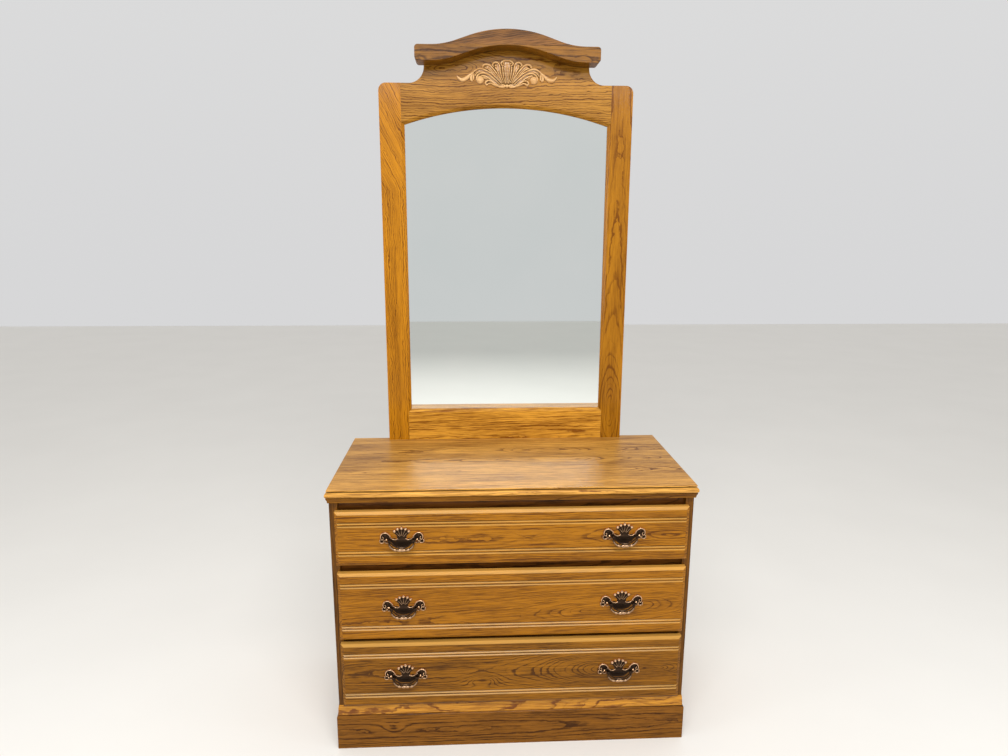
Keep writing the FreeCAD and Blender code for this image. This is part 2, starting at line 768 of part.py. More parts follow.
def pull_plate_shape():
    thick = s.plate_thick.value
    half = s.post_spacing.value / 2
    point = s.plate_point.value
    pieces = pull_fan(thick)
    pieces.append(plate_piece([(half * x, point * z) for x, z in BODY_SHARES], thick))
    for _, side in SIDES:
        pieces += pull_scroll(side, thick)
    plate = pieces[0].multiFuse(pieces[1:])
    for end in (-1, 1):
        bore = Part.makeCylinder(s.screw_radius.value, s.screw_grip.value, V(end * half, 0, 0), V(0, -1, 0))
        plate = plate.cut(bore).fuse(pull_post(end * half))
    return plate.removeSplitter()


def bail_path(half, drop, bend, start):
    """The rod's centre line, from the left arm down, along and up the right arm."""
    turn = bend * math.sqrt(0.5)
    left = Part.Arc(V(-half, 0, bend - drop), V(bend - half - turn, 0, bend - drop - turn),
                    V(bend - half, 0, -drop)).toShape()
    right = Part.Arc(V(half - bend, 0, -drop), V(half - bend + turn, 0, bend - drop - turn),
                     V(half, 0, bend - drop)).toShape()
    runs = [Part.makeLine(V(-half, 0, -start), V(-half, 0, bend - drop)), left,
            Part.makeLine(V(bend - half, 0, -drop), V(half - bend, 0, -drop)), right,
            Part.makeLine(V(half, 0, bend - drop), V(half, 0, -start))]
    return Part.Wire(runs)


def bail_shape():
    """The bail about its hinge line, hanging straight down."""
    half = s.post_spacing.value / 2
    drop = s.bail_drop.value
    bend = bail_bend.value
    start = neck_length.value
    neck = float(s.eye_width / 2 - s.neck_inset)
    section = Part.Wire(Part.makeCircle(s.bail_rod.value, V(-half, 0, -start), V(0, 0, 1)))
    rod_shape = bail_path(half, drop, bend, start).makePipeShell([section], True, False)
    pieces = []
    for end in (-1, 1):
        x = end * half
        width = s.eye_width.value
        pieces.append(Part.makeCylinder(s.eye_radius.value, width, V(x - width / 2, 0, 0), V(1, 0, 0)))
        pieces.append(Part.makeCylinder(neck, start, V(x, 0, -start), V(0, 0, 1)))
    for order in (-1.5, -0.5, 0.5, 1.5):
        x = order * s.bead_pitch.value
        beyond = max(abs(x) - (half - bend), 0)
        z = bend - drop - math.sqrt(bend ** 2 - beyond ** 2)
        size = s.bead_large if abs(order) < 1 else s.bead_small
        pieces.append(Part.makeSphere(size.value, V(x, 0, z)))
    bail = rod_shape.multiFuse(pieces)
    bore = s.pin_radius.value + s.pin_play.value
    for end in (-1, 1):
        start_x = end * half - slot_width.value
        bail = bail.cut(Part.makeCylinder(bore, 2 * slot_width.value, V(start_x, 0, 0), V(1, 0, 0)))
    return bail.removeSplitter()


def drawer_pulls(word, z, plate_shape, one_bail):
    plates = []
    for hand, side in SIDES:
        plate = shaped(f"{word}_pull_plate_{hand}", plate_shape)
        put(plate, side * s.pull_offset, front_face, z)
        plates.append(plate)
        bail = shaped(f"{word}_bail_{hand}", one_bail)
        put(bail, side * s.pull_offset, front_face - s.axis_reach, z)
        keep(f"{word}_bail_{hand}", bail)
    keep(f"{word}_pull_plates", group(f"{word}_pull_plates", plates))
    screws = []
    for number, x in enumerate(post_places(), start=1):
        name = f"{word}_pull_screw_{number}"
        start = (x, front_back, z)
        shank = rod(name + "_shank", s.screw_radius, s.front_thick + s.screw_grip, start, V(0, -1, 0))
        head = rod(name + "_head", s.screw_head, s.screw_head_height, start, V(0, 1, 0))
        screws.append(fuse(name, [shank, head]))
    keep(f"{word}_pull_screws", group(f"{word}_pull_screws", screws))


def drawers():
    plate_shape = pull_plate_shape()
    one_bail = bail_shape()
    for word, bottom, height in DRAWERS:
        floor_low = bottom + s.rail_lap + s.box_lift + s.floor_inset
        drawer_front(word, bottom, height, floor_low)
        drawer_box(word, bottom, height, floor_low)
        drawer_pulls(word, bottom + height / 2, plate_shape, one_bail)


# Mirror frame: two posts, a sill rail and an arched head with a bevelled inner lip
sill_top = top_height + s.sill_height
arch_foot = top_height + s.arch_foot
arch_radius = (sight_half * sight_half + s.arch_rise * s.arch_rise) / (2 * s.arch_rise)
arch_centre = arch_foot + s.arch_rise - arch_radius
shoulder = arch_foot + s.shoulder_rise
lip_half = sight_half - s.lip_width


def arch_level(radius, x):
    """Height of an arc about the arch's centre, at x from the middle."""
    return arch_centre + root(radius * radius - x * x)


lip_arch = arch_radius - s.lip_width
lip_foot = arch_level(lip_arch, lip_half)


def framed_member(name, face, lip):
    """A frame member: its face, and the thinner lip that the glass lies behind."""
    body = new_body(name + "_body")
    pad(body, name + "_face", outline(body, name + "_face_outline", "XZ_Plane", face), frame_thick, True)
    pad(body, name + "_lip", outline(body, name + "_lip_outline", "XZ_Plane", lip), s.lip_thick, True)
    put(body, ZERO, frame_front, ZERO)
    return body


def bevel_pocket(body, name, plane, corners, length, both_ways):
    """Takes the bevel's triangle off the lip, along it."""
    pocket = body.newObject("PartDesign::Pocket", name)
    pocket.Profile = outline(body, name + "_outline", plane, corners)
    bind(pocket, "Length", length)
    pocket.Midplane = both_ways
    pocket.Reversed = not both_ways
    body.Tip = pocket


def mirror_post(word, side, screws):
    round_start = shoulder - s.shoulder_round
    face = ((side * sight_half, top_height), (side * mirror_half, top_height),
            (side * mirror_half, round_start),
            (side * (mirror_half - s.shoulder_round), shoulder, side * s.shoulder_round),
            (side * sight_half, shoulder))
    lip = ((side * sight_half, sill_top), (side * lip_half, sill_top + s.lip_width),
           (side * lip_half, lip_foot), (side * sight_half, arch_foot))
    name = "mirror_post_" + word
    body = framed_member(name, face, lip)
    corners = ((side * sight_half, ZERO), (side * lip_half, ZERO), (side * lip_half, s.lip_bevel))
    bevel_pocket(body, name + "_bevel", "XY_Plane", corners, shoulder, False)
    keep(name, cut(name, body, [screws]))


def sill_rail():
    half = sight_half
    face = ((-half, top_height), (half, top_height), (half, sill_top), (-half, sill_top))
    lip_top = sill_top + s.lip_width
    lip = ((-half, sill_top), (half, sill_top), (lip_half, lip_top), (-lip_half, lip_top))
    body = framed_member("mirror_sill_rail", face, lip)
    corners = ((ZERO, sill_top), (ZERO, lip_top), (s.lip_bevel, lip_top))
    bevel_pocket(body, "mirror_sill_bevel", "YZ_Plane", corners, s.mirror_width, True)
    keep("mirror_sill_rail", body)


# Camel-back curve: a round crown, straight slopes and hollow sweeps out to flat ends
neck_half = sight_half - s.shoulder_ledge - s.neck_round
crest_half = neck_half + s.crest_over
flat_start = crest_half - s.crest_flat
crown_half = (flat_start - s.slope_width) / (1 + s.sweep_radius / s.crown_radius)
crown_drop = s.crown_radius - root(s.crown_radius * s.crown_radius - crown_half * crown_half)
slope_sine = crown_half / s.crown_radius
slope_cosine = root(1 - slope_sine * slope_sine)
slope_end = crown_half + s.slope_width
slope_drop = crown_drop + s.slope_width * slope_sine / slope_cosine
crest_drop = slope_drop + s.sweep_radius * (1 - slope_cosine)
crest_peak = shoulder + s.crest_rise


def camel_over(peak):
    """The curve from right to left, with the material under it."""
    return (
        (flat_start, peak - crest_drop),
        (slope_end, peak - slope_drop, -s.sweep_radius),
        (crown_half, peak - crown_drop),
        (-crown_half, peak - crown_drop, s.crown_radius),
        (-slope_end, peak - slope_drop),
        (-flat_start, peak - crest_drop, -s.sweep_radius),
    )


def camel_under(peak):
    """The curve from left to right, with the material above it."""
    return (
        (-flat_start, peak - crest_drop),
        (-slope_end, peak - slope_drop, s.sweep_radius),
        (-crown_half, peak - crown_drop),
        (crown_half, peak - crown_drop, -s.crown_radius),
        (slope_end, peak - slope_drop),
        (flat_start, peak - crest_drop, s.sweep_radius),
    )


def mirror_head():
    """The arched rail with its shoulders and the head behind the crest."""
    peak = crest_peak - s.head_setdown
    face = (
        (-sight_half, arch_foot),
        (sight_half, arch_foot, -arch_radius),
        (sight_half, shoulder),
        (neck_half + s.neck_round, shoulder),
        (neck_half, shoulder + s.neck_round, -s.neck_round),
        (neck_half, peak - crest_drop),
    ) + camel_over(peak) + (
        (-neck_half, peak - crest_drop),
        (-neck_half, shoulder + s.neck_round),
        (-neck_half - s.neck_round, shoulder, -s.neck_round),
        (-sight_half, shoulder),
    )
    lip = (
        (-sight_half, arch_foot),
        (-lip_half, lip_foot),
        (lip_half, lip_foot, -lip_arch),
        (sight_half, arch_foot),
        (-sight_half, arch_foot, arch_radius),
    )
    body = framed_member("mirror_head", face, lip[1:])
    cone = doc.addObject("Part::Cone", "mirror_head_bevel")
    bind(cone, "Radius1", arch_radius)
    bind(cone, "Radius2", lip_arch)
    bind(cone, "Height", s.lip_bevel)
    cone.Placement = FreeCAD.Placement(V(), FreeCAD.Rotation(V(0, 0, 1), V(0, 1, 0)))
    put(cone, ZERO, frame_front, arch_centre)
    keep("mirror_head", cut("mirror_head", body, [cone]))


def mirror_crest():
    half = crest_half
    corner = s.crest_round
    top = crest_peak - crest_drop
    low = top - s.crest_height
    face = camel_under(crest_peak - s.crest_height) + (
        (half - corner, low),
        (half, low + corner, corner),
        (half, top - corner),
        (half - corner, top, corner),
    ) + camel_over(crest_peak) + (
        (corner - half, top),
        (-half, top - corner, corner),
        (-half, low + corner),
        (corner - half, low, corner),
    )
    keep("mirror_crest", panel("mirror_crest", face, s.crest_depth, frame_front - s.crest_depth))


def glass_outline():
    half = sight_half - s.glass_play
    radius = arch_radius - s.glass_play
    low = sill_top + s.glass_play
    foot = arch_level(radius, half)
    return ((-half, low), (half, low), (half, foot), (-half, foot, radius))


def mirror_filling():
    """The glass, the board behind it and the strips that hold both."""
    glass_front = frame_front + s.lip_thick
    board_front = glass_front + s.glass_thick
    stop_front = board_front + s.board_thick
    keep("mirror_glass", panel("mirror_glass", glass_outline(), s.glass_thick, glass_front))
    keep("mirror_backboard", panel("mirror_backboard", glass_outline(), s.board_thick, board_front))
    depth = (stop_front, stop_front + s.stop_thick)
    stops = [between("sill_stop", (s.stop_width - sight_half, sight_half - s.stop_width), depth,
                     (sill_top, sill_top + s.stop_width))]
    for word, side in SIDES:
        stops.append(between("side_stop_" + word, across(side, sight_half - s.stop_width, sight_half), depth,
                             (sill_top, arch_foot)))
    keep("glass_stops", group("glass_stops", stops))


# Uprights behind the mirror, screwed to its posts and to the case's rear rails
lowest_screw = upper_bottom + s.rail_lap - s.runner_height / 2


def upright_screws():
    middle = mirror_half - s.support_inset - s.support_width / 2
    levels = (
        lowest_screw,
        case_top - s.cleat_height / 2,
        top_height + s.sill_height / 2,
        top_height + s.support_above - s.support_end,
    )
    back = rear + s.support_thick
    screws = []
    for word, side in SIDES:
        for number, z in enumerate(levels, start=1):
            name = f"upright_screw_{word}_{number}"
            start = (side * middle, back, z)
            length = s.support_thick + s.bolt_grip
            shank = rod(name + "_shank", s.bolt_radius, length, start, V(0, -1, 0))
            head = rod(name + "_head", s.bolt_head, s.bolt_head_depth, start, V(0, -1, 0))
            screws.append(fuse(name, [shank, head]))
    return keep("mirror_screws", group("mirror_screws", screws))


def uprights(screws):
    outer = mirror_half - s.support_inset
    for word, side in SIDES:
        name = "mirror_upright_" + word
        blank = between(name + "_board", across(side, outer - s.support_width, outer),
                        (rear, rear + s.support_thick),
                        (lowest_screw - s.support_end, top_height + s.support_above))
        keep(name, cut(name, blank, [screws]))


# Carved shell on the frame's head: a fan of lobes, and a leaf to each side
LOBE_ORDERS = (-2, -1, 0, 1, 2)
LEAF_SHARES = ((0.2, 0.3, 0.85), (0.55, 0.62, 1.0), (0.8, 0.85, 0.7), (1.0, 1.0, 0.3))
CURL_SHARE = 0.52


def shell_carving():
    base = float(arch_foot + s.arch_rise + s.shell_rise)
    tip = s.shell_lobe.value
    foot = s.shell_root.value
    origin = V(0, 0, base)
    pieces = [Part.makeSphere(tip, origin)]
    for order in LOBE_ORDERS:
        angle = math.radians(order * s.shell_angle.value)
        along = V(math.sin(angle), 0, math.cos(angle))
        length = s.shell_length.value
        pieces.append(Part.makeCone(foot, tip, length, origin, along))
        pieces.append(Part.makeSphere(tip, origin + along * length))
    for _, side in SIDES:
        pieces += shell_leaf(side, base)
    depth = 2 * tip
    width = s.shell_span.value + depth
    front = Part.makeBox(2 * width, depth, 2 * width, V(-width, -depth, base - width))
    carving = pieces[0].multiFuse(pieces[1:]).common(front)
    carving.translate(V(0, float(frame_front), 0))
    keep("shell_carving", shaped("shell_carving", carving.removeSplitter()))


def shell_leaf(side, base):
    """A tapering leaf from the fan out to the tip, with a round curl on it."""
    span = s.shell_span.value
    rise = s.shell_tip_rise.value
    knots = [(V(side * span * x, 0, base + rise * z), s.shell_lobe.value * size)
             for x, z, size in LEAF_SHARES]
    pieces = [Part.makeSphere(size, place) for place, size in knots]
    for (start, near), (end, far) in zip(knots, knots[1:]):
        run = end - start
        pieces.append(Part.makeCone(near, far, run.Length, start, run))
    curl = V(side * span * CURL_SHARE, 0, base + rise)
    pieces.append(Part.makeSphere(s.shell_lobe.value, curl))
    return pieces


# Build, check and write
def check_document():
    doc.recompute()
    for thing in doc.Objects:
        if "Invalid" in thing.State or "Error" in thing.State:
            raise RuntimeError(f"{thing.Name} failed: {thing.State}")
    for name, thing in nodes.items():
        if thing.Shape.isNull() or not thing.Shape.isValid():
            raise RuntimeError(f"{name} has no valid shape")


def write_steps():
    os.makedirs("parts", exist_ok=True)
    for name, thing in nodes.items():
        thing.Shape.exportStep(os.path.join("parts", name + ".step"))
    print(len(nodes), "nodes written")


def main():
    top_panel()
    top_moulding()
    screws = upright_screws()
    back = case_panels()
    keep("back_panel", cut("back_panel", back, [screws]))
    case_rails()
    drawer_runners()
    rear_rails(screws)
    plinth()
    foot_moulding()
    drawers()
    for word, side in SIDES:
        mirror_post(word, side, screws)
    sill_rail()
    mirror_head()
    mirror_crest()
    mirror_filling()
    uprights(screws)
    shell_carving()
    check_document()
    write_steps()


main()
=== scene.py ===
import json
import math

import bpy
import numpy as np
from mathutils import Matrix, Vector


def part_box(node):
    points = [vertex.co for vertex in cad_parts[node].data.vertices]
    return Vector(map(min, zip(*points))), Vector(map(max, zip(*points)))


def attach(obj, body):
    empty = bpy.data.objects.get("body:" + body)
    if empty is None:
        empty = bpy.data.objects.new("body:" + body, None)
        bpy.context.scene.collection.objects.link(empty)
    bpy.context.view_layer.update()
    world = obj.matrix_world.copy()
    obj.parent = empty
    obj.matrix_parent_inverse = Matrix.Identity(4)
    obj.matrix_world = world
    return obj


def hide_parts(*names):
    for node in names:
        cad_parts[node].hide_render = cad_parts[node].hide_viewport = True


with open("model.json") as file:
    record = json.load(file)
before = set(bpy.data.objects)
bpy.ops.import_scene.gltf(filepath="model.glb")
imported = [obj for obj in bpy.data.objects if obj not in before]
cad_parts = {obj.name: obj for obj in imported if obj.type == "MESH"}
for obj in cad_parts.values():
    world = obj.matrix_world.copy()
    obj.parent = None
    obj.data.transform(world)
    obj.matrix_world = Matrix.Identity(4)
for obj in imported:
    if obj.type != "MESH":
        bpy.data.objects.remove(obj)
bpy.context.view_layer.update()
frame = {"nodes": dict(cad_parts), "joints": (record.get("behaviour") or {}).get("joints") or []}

MM = 0.001
WORDS = ("lower", "middle", "upper")
HANDS = ("left", "right")


def shade(red, green, blue):
    """A colour given as it looks on screen, 0 to 255, as linear light."""
    parts = []
    for part in (red, green, blue):
        value = part / 255
        parts.append(value / 12.92 if value <= 0.04045 else ((value + 0.055) / 1.055) ** 2.4)
    return (*parts, 1)


# Shader nodes: sockets or plain numbers go in, sockets come out
class Web:
    def __init__(self, tree):
        self.tree = tree

    def node(self, kind, **settings):
        made = self.tree.nodes.new("ShaderNode" + kind)
        for name, value in settings.items():
            setattr(made, name, value)
        return made

    def feed(self, socket, value):
        if isinstance(value, bpy.types.NodeSocket):
            self.tree.links.new(value, socket)
        elif value is not None:
            socket.default_value = value

    def maths(self, operation, *values, clamp=False):
        made = self.node("Math", operation=operation, use_clamp=clamp)
        for socket, value in zip(made.inputs, values):
            self.feed(socket, value)
        return made.outputs[0]

    def add(self, one, two):
        return self.maths("ADD", one, two)

    def less(self, one, two):
        return self.maths("SUBTRACT", one, two)

    def times(self, one, two):
        return self.maths("MULTIPLY", one, two)

    def vector(self, operation, *values):
        made = self.node("VectorMath", operation=operation)
        for socket, value in zip(made.inputs, values):
            self.feed(socket, value)
        return made.outputs[0]

    def join(self, x, y, z):
        made = self.node("CombineXYZ")
        for socket, value in zip(made.inputs, (x, y, z)):
            self.feed(socket, value)
        return made.outputs[0]

    def split(self, vector):
        made = self.node("SeparateXYZ")
        self.feed(made.inputs[0], vector)
        return made.outputs

    def noise(self, vector, scale, detail=2.0, roughness=0.5):
        made = self.node("TexNoise")
        self.feed(made.inputs["Vector"], vector)
        made.inputs["Scale"].default_value = scale
        made.inputs["Detail"].default_value = detail
        made.inputs["Roughness"].default_value = roughness
        return made.outputs

    def scatter(self, vector):
        """Random value and colour, the same all over each whole step of vector."""
        made = self.node("TexWhiteNoise", noise_dimensions="3D")
        self.feed(made.inputs["Vector"], vector)
        return made.outputs

    def span(self, value, low, high, to_low=0.0, to_high=1.0, smooth=True):
        made = self.node("MapRange", interpolation_type="SMOOTHSTEP" if smooth else "LINEAR")
        for name, part in (("Value", value), ("From Min", low), ("From Max", high),
                           ("To Min", to_low), ("To Max", to_high)):
            self.feed(made.inputs[name], part)
        return made.outputs[0]

    def mix(self, factor, one, two, blend="MIX"):
        made = self.node("Mix", data_type="RGBA", blend_type=blend, clamp_factor=True)
        self.feed(made.inputs["Factor"], factor)
        self.feed(made.inputs[6], one)
        self.feed(made.inputs[7], two)
        return made.outputs[2]


# Oak as a solid: growth rings round a bent pith, with pores and streaks along the grain.
# Place is (along the grain, across the board, through the board) in millimetres.
# Pith across and Pith depth place the pith, Rise and Reach bend it away from Centre, and Wander sways it.
# Ring is the rings' width, Wave their ripple, and Lean slants the grain beyond Lean from.
OAK_SOCKETS = (
    ("Place", "NodeSocketVector", (0, 0, 0)),
    ("Seed", "NodeSocketFloat", 0.0),
    ("Pith across", "NodeSocketFloat", 0.0),
    ("Pith depth", "NodeSocketFloat", 60.0),
    ("Centre", "NodeSocketFloat", 0.0),
    ("Slope", "NodeSocketFloat", 0.02),
    ("Rise", "NodeSocketFloat", 12.0),
    ("Reach", "NodeSocketFloat", 400.0),
    ("Ring", "NodeSocketFloat", 7.0),
    ("Wander", "NodeSocketFloat", 12.0),
    ("Wave", "NodeSocketFloat", 0.7),
    ("Lean", "NodeSocketFloat", 0.0),
    ("Lean from", "NodeSocketFloat", 0.0),
    ("Streak", "NodeSocketFloat", 0.4),
    ("Board", "NodeSocketFloat", 2000.0),
    ("Contrast", "NodeSocketFloat", 1.1),
    ("Knot along", "NodeSocketFloat", 0.0),
    ("Knot across", "NodeSocketFloat", 0.0),
    ("Knot", "NodeSocketFloat", 0.0),
    ("Light", "NodeSocketColor", (0.6, 0.3, 0.1, 1)),
    ("Dark", "NodeSocketColor", (0.2, 0.08, 0.02, 1)),
)


# how far glued boards differ in where they lie in the tree, in millimetres
BOARD_RUN = 4000.0
BOARD_SHIFT = 90.0
BOARD_DEPTH = 25.0


def glued_board(web, given):
    """Where a place lies in its board's own piece of the tree (far along, across, depth), and its tone."""
    along, across, through = web.split(given["Place"])
    number = web.maths("FLOOR", web.add(web.maths("DIVIDE", across, given["Board"]), 0.5))
    luck = web.scatter(web.join(number, given["Seed"], 0.5))
    luck_x, luck_y, luck_z = web.split(luck["Color"])
    across = web.less(across, web.times(number, given["Board"]))
    across = web.add(across, web.times(web.times(web.less(luck_y, 0.5), number), BOARD_SHIFT))
    across = web.add(across, given["Pith across"])
    leaning = web.maths("MAXIMUM", web.less(along, given["Lean from"]), 0.0)
    across = web.add(across, web.times(leaning, given["Lean"]))
    far = web.add(along, web.times(luck_x, BOARD_RUN))
    depth = web.add(through, given["Pith depth"])
    depth = web.add(depth, web.times(web.times(luck_z, number), BOARD_DEPTH))
    tone = web.span(luck["Value"], 0.0, 1.0, 0.88, 1.08, smooth=False)
    return far, across, depth, tone


def bent_pith(web, given, far, across, depth, lag):
    """Across and depth from a pith that bends away from Centre and wanders, and the lane for streaks."""
    run = web.less(web.split(given["Place"])[0], given["Centre"])
    depth = web.add(depth, web.times(run, given["Slope"]))
    away = web.maths("DIVIDE", run, given["Reach"])
    away = web.times(away, away)
    depth = web.add(depth, web.times(web.maths("DIVIDE", away, web.add(away, 1.0)), given["Rise"]))
    drift = web.noise(web.join(web.times(far, 0.0024), web.times(across, 0.005), lag), 1.0, 3.0)
    drift_x, drift_y, _ = web.split(drift["Color"])
    sway = web.times(web.less(drift_x, 0.5), web.times(given["Wander"], 1.4))
    lane = web.add(across, web.times(sway, 0.5))
    depth = web.add(depth, web.times(web.less(drift_y, 0.5), web.times(given["Wander"], 2.4)))
    return web.add(across, sway), depth, lane


def knot_distance(web, given):
    """Squared distance from the knot, in its own widths."""
    along, across, _ = web.split(given["Place"])
    width = web.maths("MAXIMUM", given["Knot"], 0.1)
    height = web.maths("MAXIMUM", web.times(given["Knot"], 0.42), 0.1)
    run = web.maths("DIVIDE", web.less(along, given["Knot along"]), width)
    rise = web.maths("DIVIDE", web.less(across, given["Knot across"]), height)
    return web.add(web.times(run, run), web.times(rise, rise))


def early_wood(web, given, radius, lanes, lag):
    """How dark a ring is at radius: rings differ in width and strength, ripple, and fade in places."""
    ring = web.maths("DIVIDE", radius, given["Ring"])
    ripple = lanes(0.014, 0.04, lag)
    ring = web.add(ring, web.times(web.less(ripple, 0.5), given["Wave"]))
    tooth = lanes(0.04, 0.06, lag)
    ring = web.add(ring, web.times(web.less(tooth, 0.5), web.times(given["Wave"], 0.9)))
    uneven = web.noise(web.join(web.times(ring, 0.31), given["Seed"], 4.0), 1.0, 1.0)
    ring = web.add(ring, web.times(web.less(uneven[0], 0.5), 2.2))
    part = web.maths("FRACT", ring)
    strength = web.scatter(web.join(web.maths("FLOOR", ring), given["Seed"], 8.5))
    early = web.maths("MAXIMUM", web.span(part, 0.04, 0.36, 1.0, 0.0), web.span(part, 0.93, 1.0, 0.0, 1.0))
    early = web.times(early, web.span(strength["Value"], 0.0, 0.9, 0.05, 1.0, smooth=False))
    fade = lanes(0.009, 0.09, web.times(lag, 2.0))
    return web.times(early, web.span(fade, 0.36, 0.62, 0.6, 1.1))


def oak_group():
    """The node group that colours every piece of oak."""
    tree = bpy.data.node_groups.new("oak", "ShaderNodeTree")
    for name, kind, value in OAK_SOCKETS:
        socket = tree.interface.new_socket(name, in_out="INPUT", socket_type=kind)
        socket.default_value = value
    tree.interface.new_socket("Color", in_out="OUTPUT", socket_type="NodeSocketColor")
    tree.interface.new_socket("Height", in_out="OUTPUT", socket_type="NodeSocketFloat")
    web = Web(tree)
    given = tree.nodes.new("NodeGroupInput").outputs
    result = tree.nodes.new("NodeGroupOutput").inputs
    lag = web.times(given["Seed"], 3.7)
    through = web.split(given["Place"])[2]
    far, across, depth, tone = glued_board(web, given)
    across, depth, lane = bent_pith(web, given, far, across, depth, lag)

    def lanes(along_rate, across_rate, third, detail=2.0, roughness=0.5):
        """Noise drawn out along the board; a rate is its changes in each millimetre."""
        place = web.join(web.times(far, along_rate), web.times(lane, across_rate), third)
        return web.noise(place, 1.0, detail, roughness)[0]

    # rings, parted by the knot
    knot_far = knot_distance(web, given)
    radius = web.maths("SQRT", web.add(web.times(across, across), web.times(depth, depth)))
    parting = web.maths("EXPONENT", web.times(knot_far, -0.5))
    radius = web.add(radius, web.times(parting, web.times(given["Knot"], 0.5)))
    early = early_wood(web, given, radius, lanes, lag)

    # streaks, fine lines, pores and slow changes of tone run along the board
    streak = web.span(lanes(0.0055, 0.17, web.times(through, 0.1), 3.0, 0.62), 0.36, 0.66)
    line = web.span(lanes(0.02, 0.32, web.times(through, 0.3), 3.0), 0.38, 0.64)
    pore = web.span(lanes(0.06, 1.3, web.times(through, 1.3)), 0.46, 0.62)
    pore = web.times(pore, web.span(early, 0.05, 0.6, 0.35, 1.0))
    cloud = lanes(0.0035, 0.025, lag)
    early = web.times(early, web.span(streak, 0.0, 1.0, 0.65, 1.1, smooth=False))

    # all of them add to how dark the wood is
    dark = web.add(web.times(early, web.times(given["Contrast"], 0.8)), 0.3)
    dark = web.add(dark, web.times(web.less(streak, 0.5), given["Streak"]))
    dark = web.add(dark, web.times(web.less(line, 0.45), given["Streak"]))
    dark = web.add(dark, web.times(pore, 0.4))
    dark = web.add(dark, web.times(web.less(cloud, 0.5), 1.2))
    core = web.maths("EXPONENT", web.times(knot_far, -9.0))
    dark = web.add(dark, web.times(core, web.maths("GREATER_THAN", given["Knot"], 0.5)))
    dark = web.maths("POWER", web.maths("MAXIMUM", dark, 0.0), 1.1)
    colour = web.mix(dark, given["Light"], given["Dark"])
    web.feed(result["Color"], web.vector("SCALE", colour, None, None, tone))
    web.feed(result["Height"], web.less(1.0, web.add(web.times(pore, 0.7), web.times(early, 0.3))))
    return tree


OAK = oak_group()


def new_material(name):
    material = bpy.data.materials.new(name)
    material.use_nodes = True
    tree = material.node_tree
    shader = tree.nodes["Principled BSDF"]
    return material, Web(tree), shader


def board_place(web, order, middle, turn=0.0):
    """Place on a board in millimetres: order names the axes along, across and through it.

    turn slants the grain, in degrees."""
    where = web.split(web.node("TexCoord").outputs["Object"])
    parts = []
    for axis in order:
        number = "XYZ".index(axis)
        parts.append(web.times(web.less(where[number], middle[number]), 1000.0))
    if turn:
        spin = math.radians(turn)
        along = web.add(web.times(parts[0], math.cos(spin)), web.times(parts[1], math.sin(spin)))
        across = web.less(web.times(parts[1], math.cos(spin)), web.times(parts[0], math.sin(spin)))
        parts = [along, across, parts[2]]
    return web.join(*parts)


def oak_sample(web, place, grain):
    """Colour and height of oak at place; grain holds the group's sizes by name."""
    made = web.tree.nodes.new("ShaderNodeGroup")
    made.node_tree = OAK
    web.feed(made.inputs["Place"], place)
    for name, value in grain.items():
        made.inputs[name].default_value = value
    return made.outputs["Color"], made.outputs["Height"]


HONEY = shade(196, 134, 36)
HONEY_DARK = shade(104, 54, 0)
AMBER_DARK = shade(104, 58, 0)
TAN = shade(166, 116, 40)
TAN_DARK = shade(88, 48, 0)
BASE = shade(134, 84, 20)
BASE_DARK = shade(62, 32, 0)
# how dark the painted shade in creases gets
CREASE_SHADE = 0.35
# the pale colour of the painted highlight on profiles that face up
HIGHLIGHT_TINT = shade(248, 190, 96)


def emboss(web, shader, height, strength):
    """Fine relief on a shader's surface."""
    bump = web.node("Bump")
    bump.inputs["Strength"].default_value = strength
    bump.inputs["Distance"].default_value = 0.3 * MM
    web.feed(bump.inputs["Height"], height)
    web.feed(shader.inputs["Normal"], bump.outputs[0])


def lacquer(web, shader, colour, height, roughness=0.36, shade_reach=0.0, coat=0.6, coat_roughness=0.14,
            upward_highlight=0.0):
    """Satin lacquer over wood: colour, fine relief and a thin clear coat.

    cavity, in metres, is how far the painted shade in hollows and creases reaches, and rubbed is how strongly
    profiles that face up are paled as a painted highlight."""
    # painted highlight: faces that point up are mixed towards a pale colour, standing in for the lamps'
    # reflection on bevels and groove flanks
    if upward_highlight:
        up = web.split(web.node("NewGeometry").outputs["Normal"])[2]
        colour = web.mix(web.span(up, 0.12, 0.5, 0.0, upward_highlight), colour, HIGHLIGHT_TINT)
    # painted shade: ambient occlusion darkens the colour in hollows, creases and recesses
    if shade_reach:
        crease = web.node("AmbientOcclusion", samples=6, only_local=True)
        crease.inputs["Distance"].default_value = shade_reach
        depth = web.span(crease.outputs["AO"], 0.35, 0.95, CREASE_SHADE, 1.0)
        colour = web.vector("SCALE", colour, None, None, depth)
    web.feed(shader.inputs["Base Color"], colour)
    dull = web.span(height, 0.0, 1.0, roughness + 0.16, roughness, smooth=False)
    web.feed(shader.inputs["Roughness"], dull)
    emboss(web, shader, height, 0.2)
    shader.inputs["Specular IOR Level"].default_value = 0.08
    shader.inputs["Coat Weight"].default_value = coat
    shader.inputs["Coat Roughness"].default_value = coat_roughness


def oak(name, order, middle, light=HONEY, dark=HONEY_DARK, turn=0.0, finish=None, **grain):
    """Lacquered oak; grain holds the oak group's sizes, and finish holds lacquer's."""
    material, web, shader = new_material(name)
    sizes = {"Light": light, "Dark": dark}
    sizes.update({key.replace("_", " ").capitalize(): value for key, value in grain.items()})
    colour, height = oak_sample(web, board_place(web, order, middle, turn), sizes)
    lacquer(web, shader, colour, height, **(finish or {}))
    return material


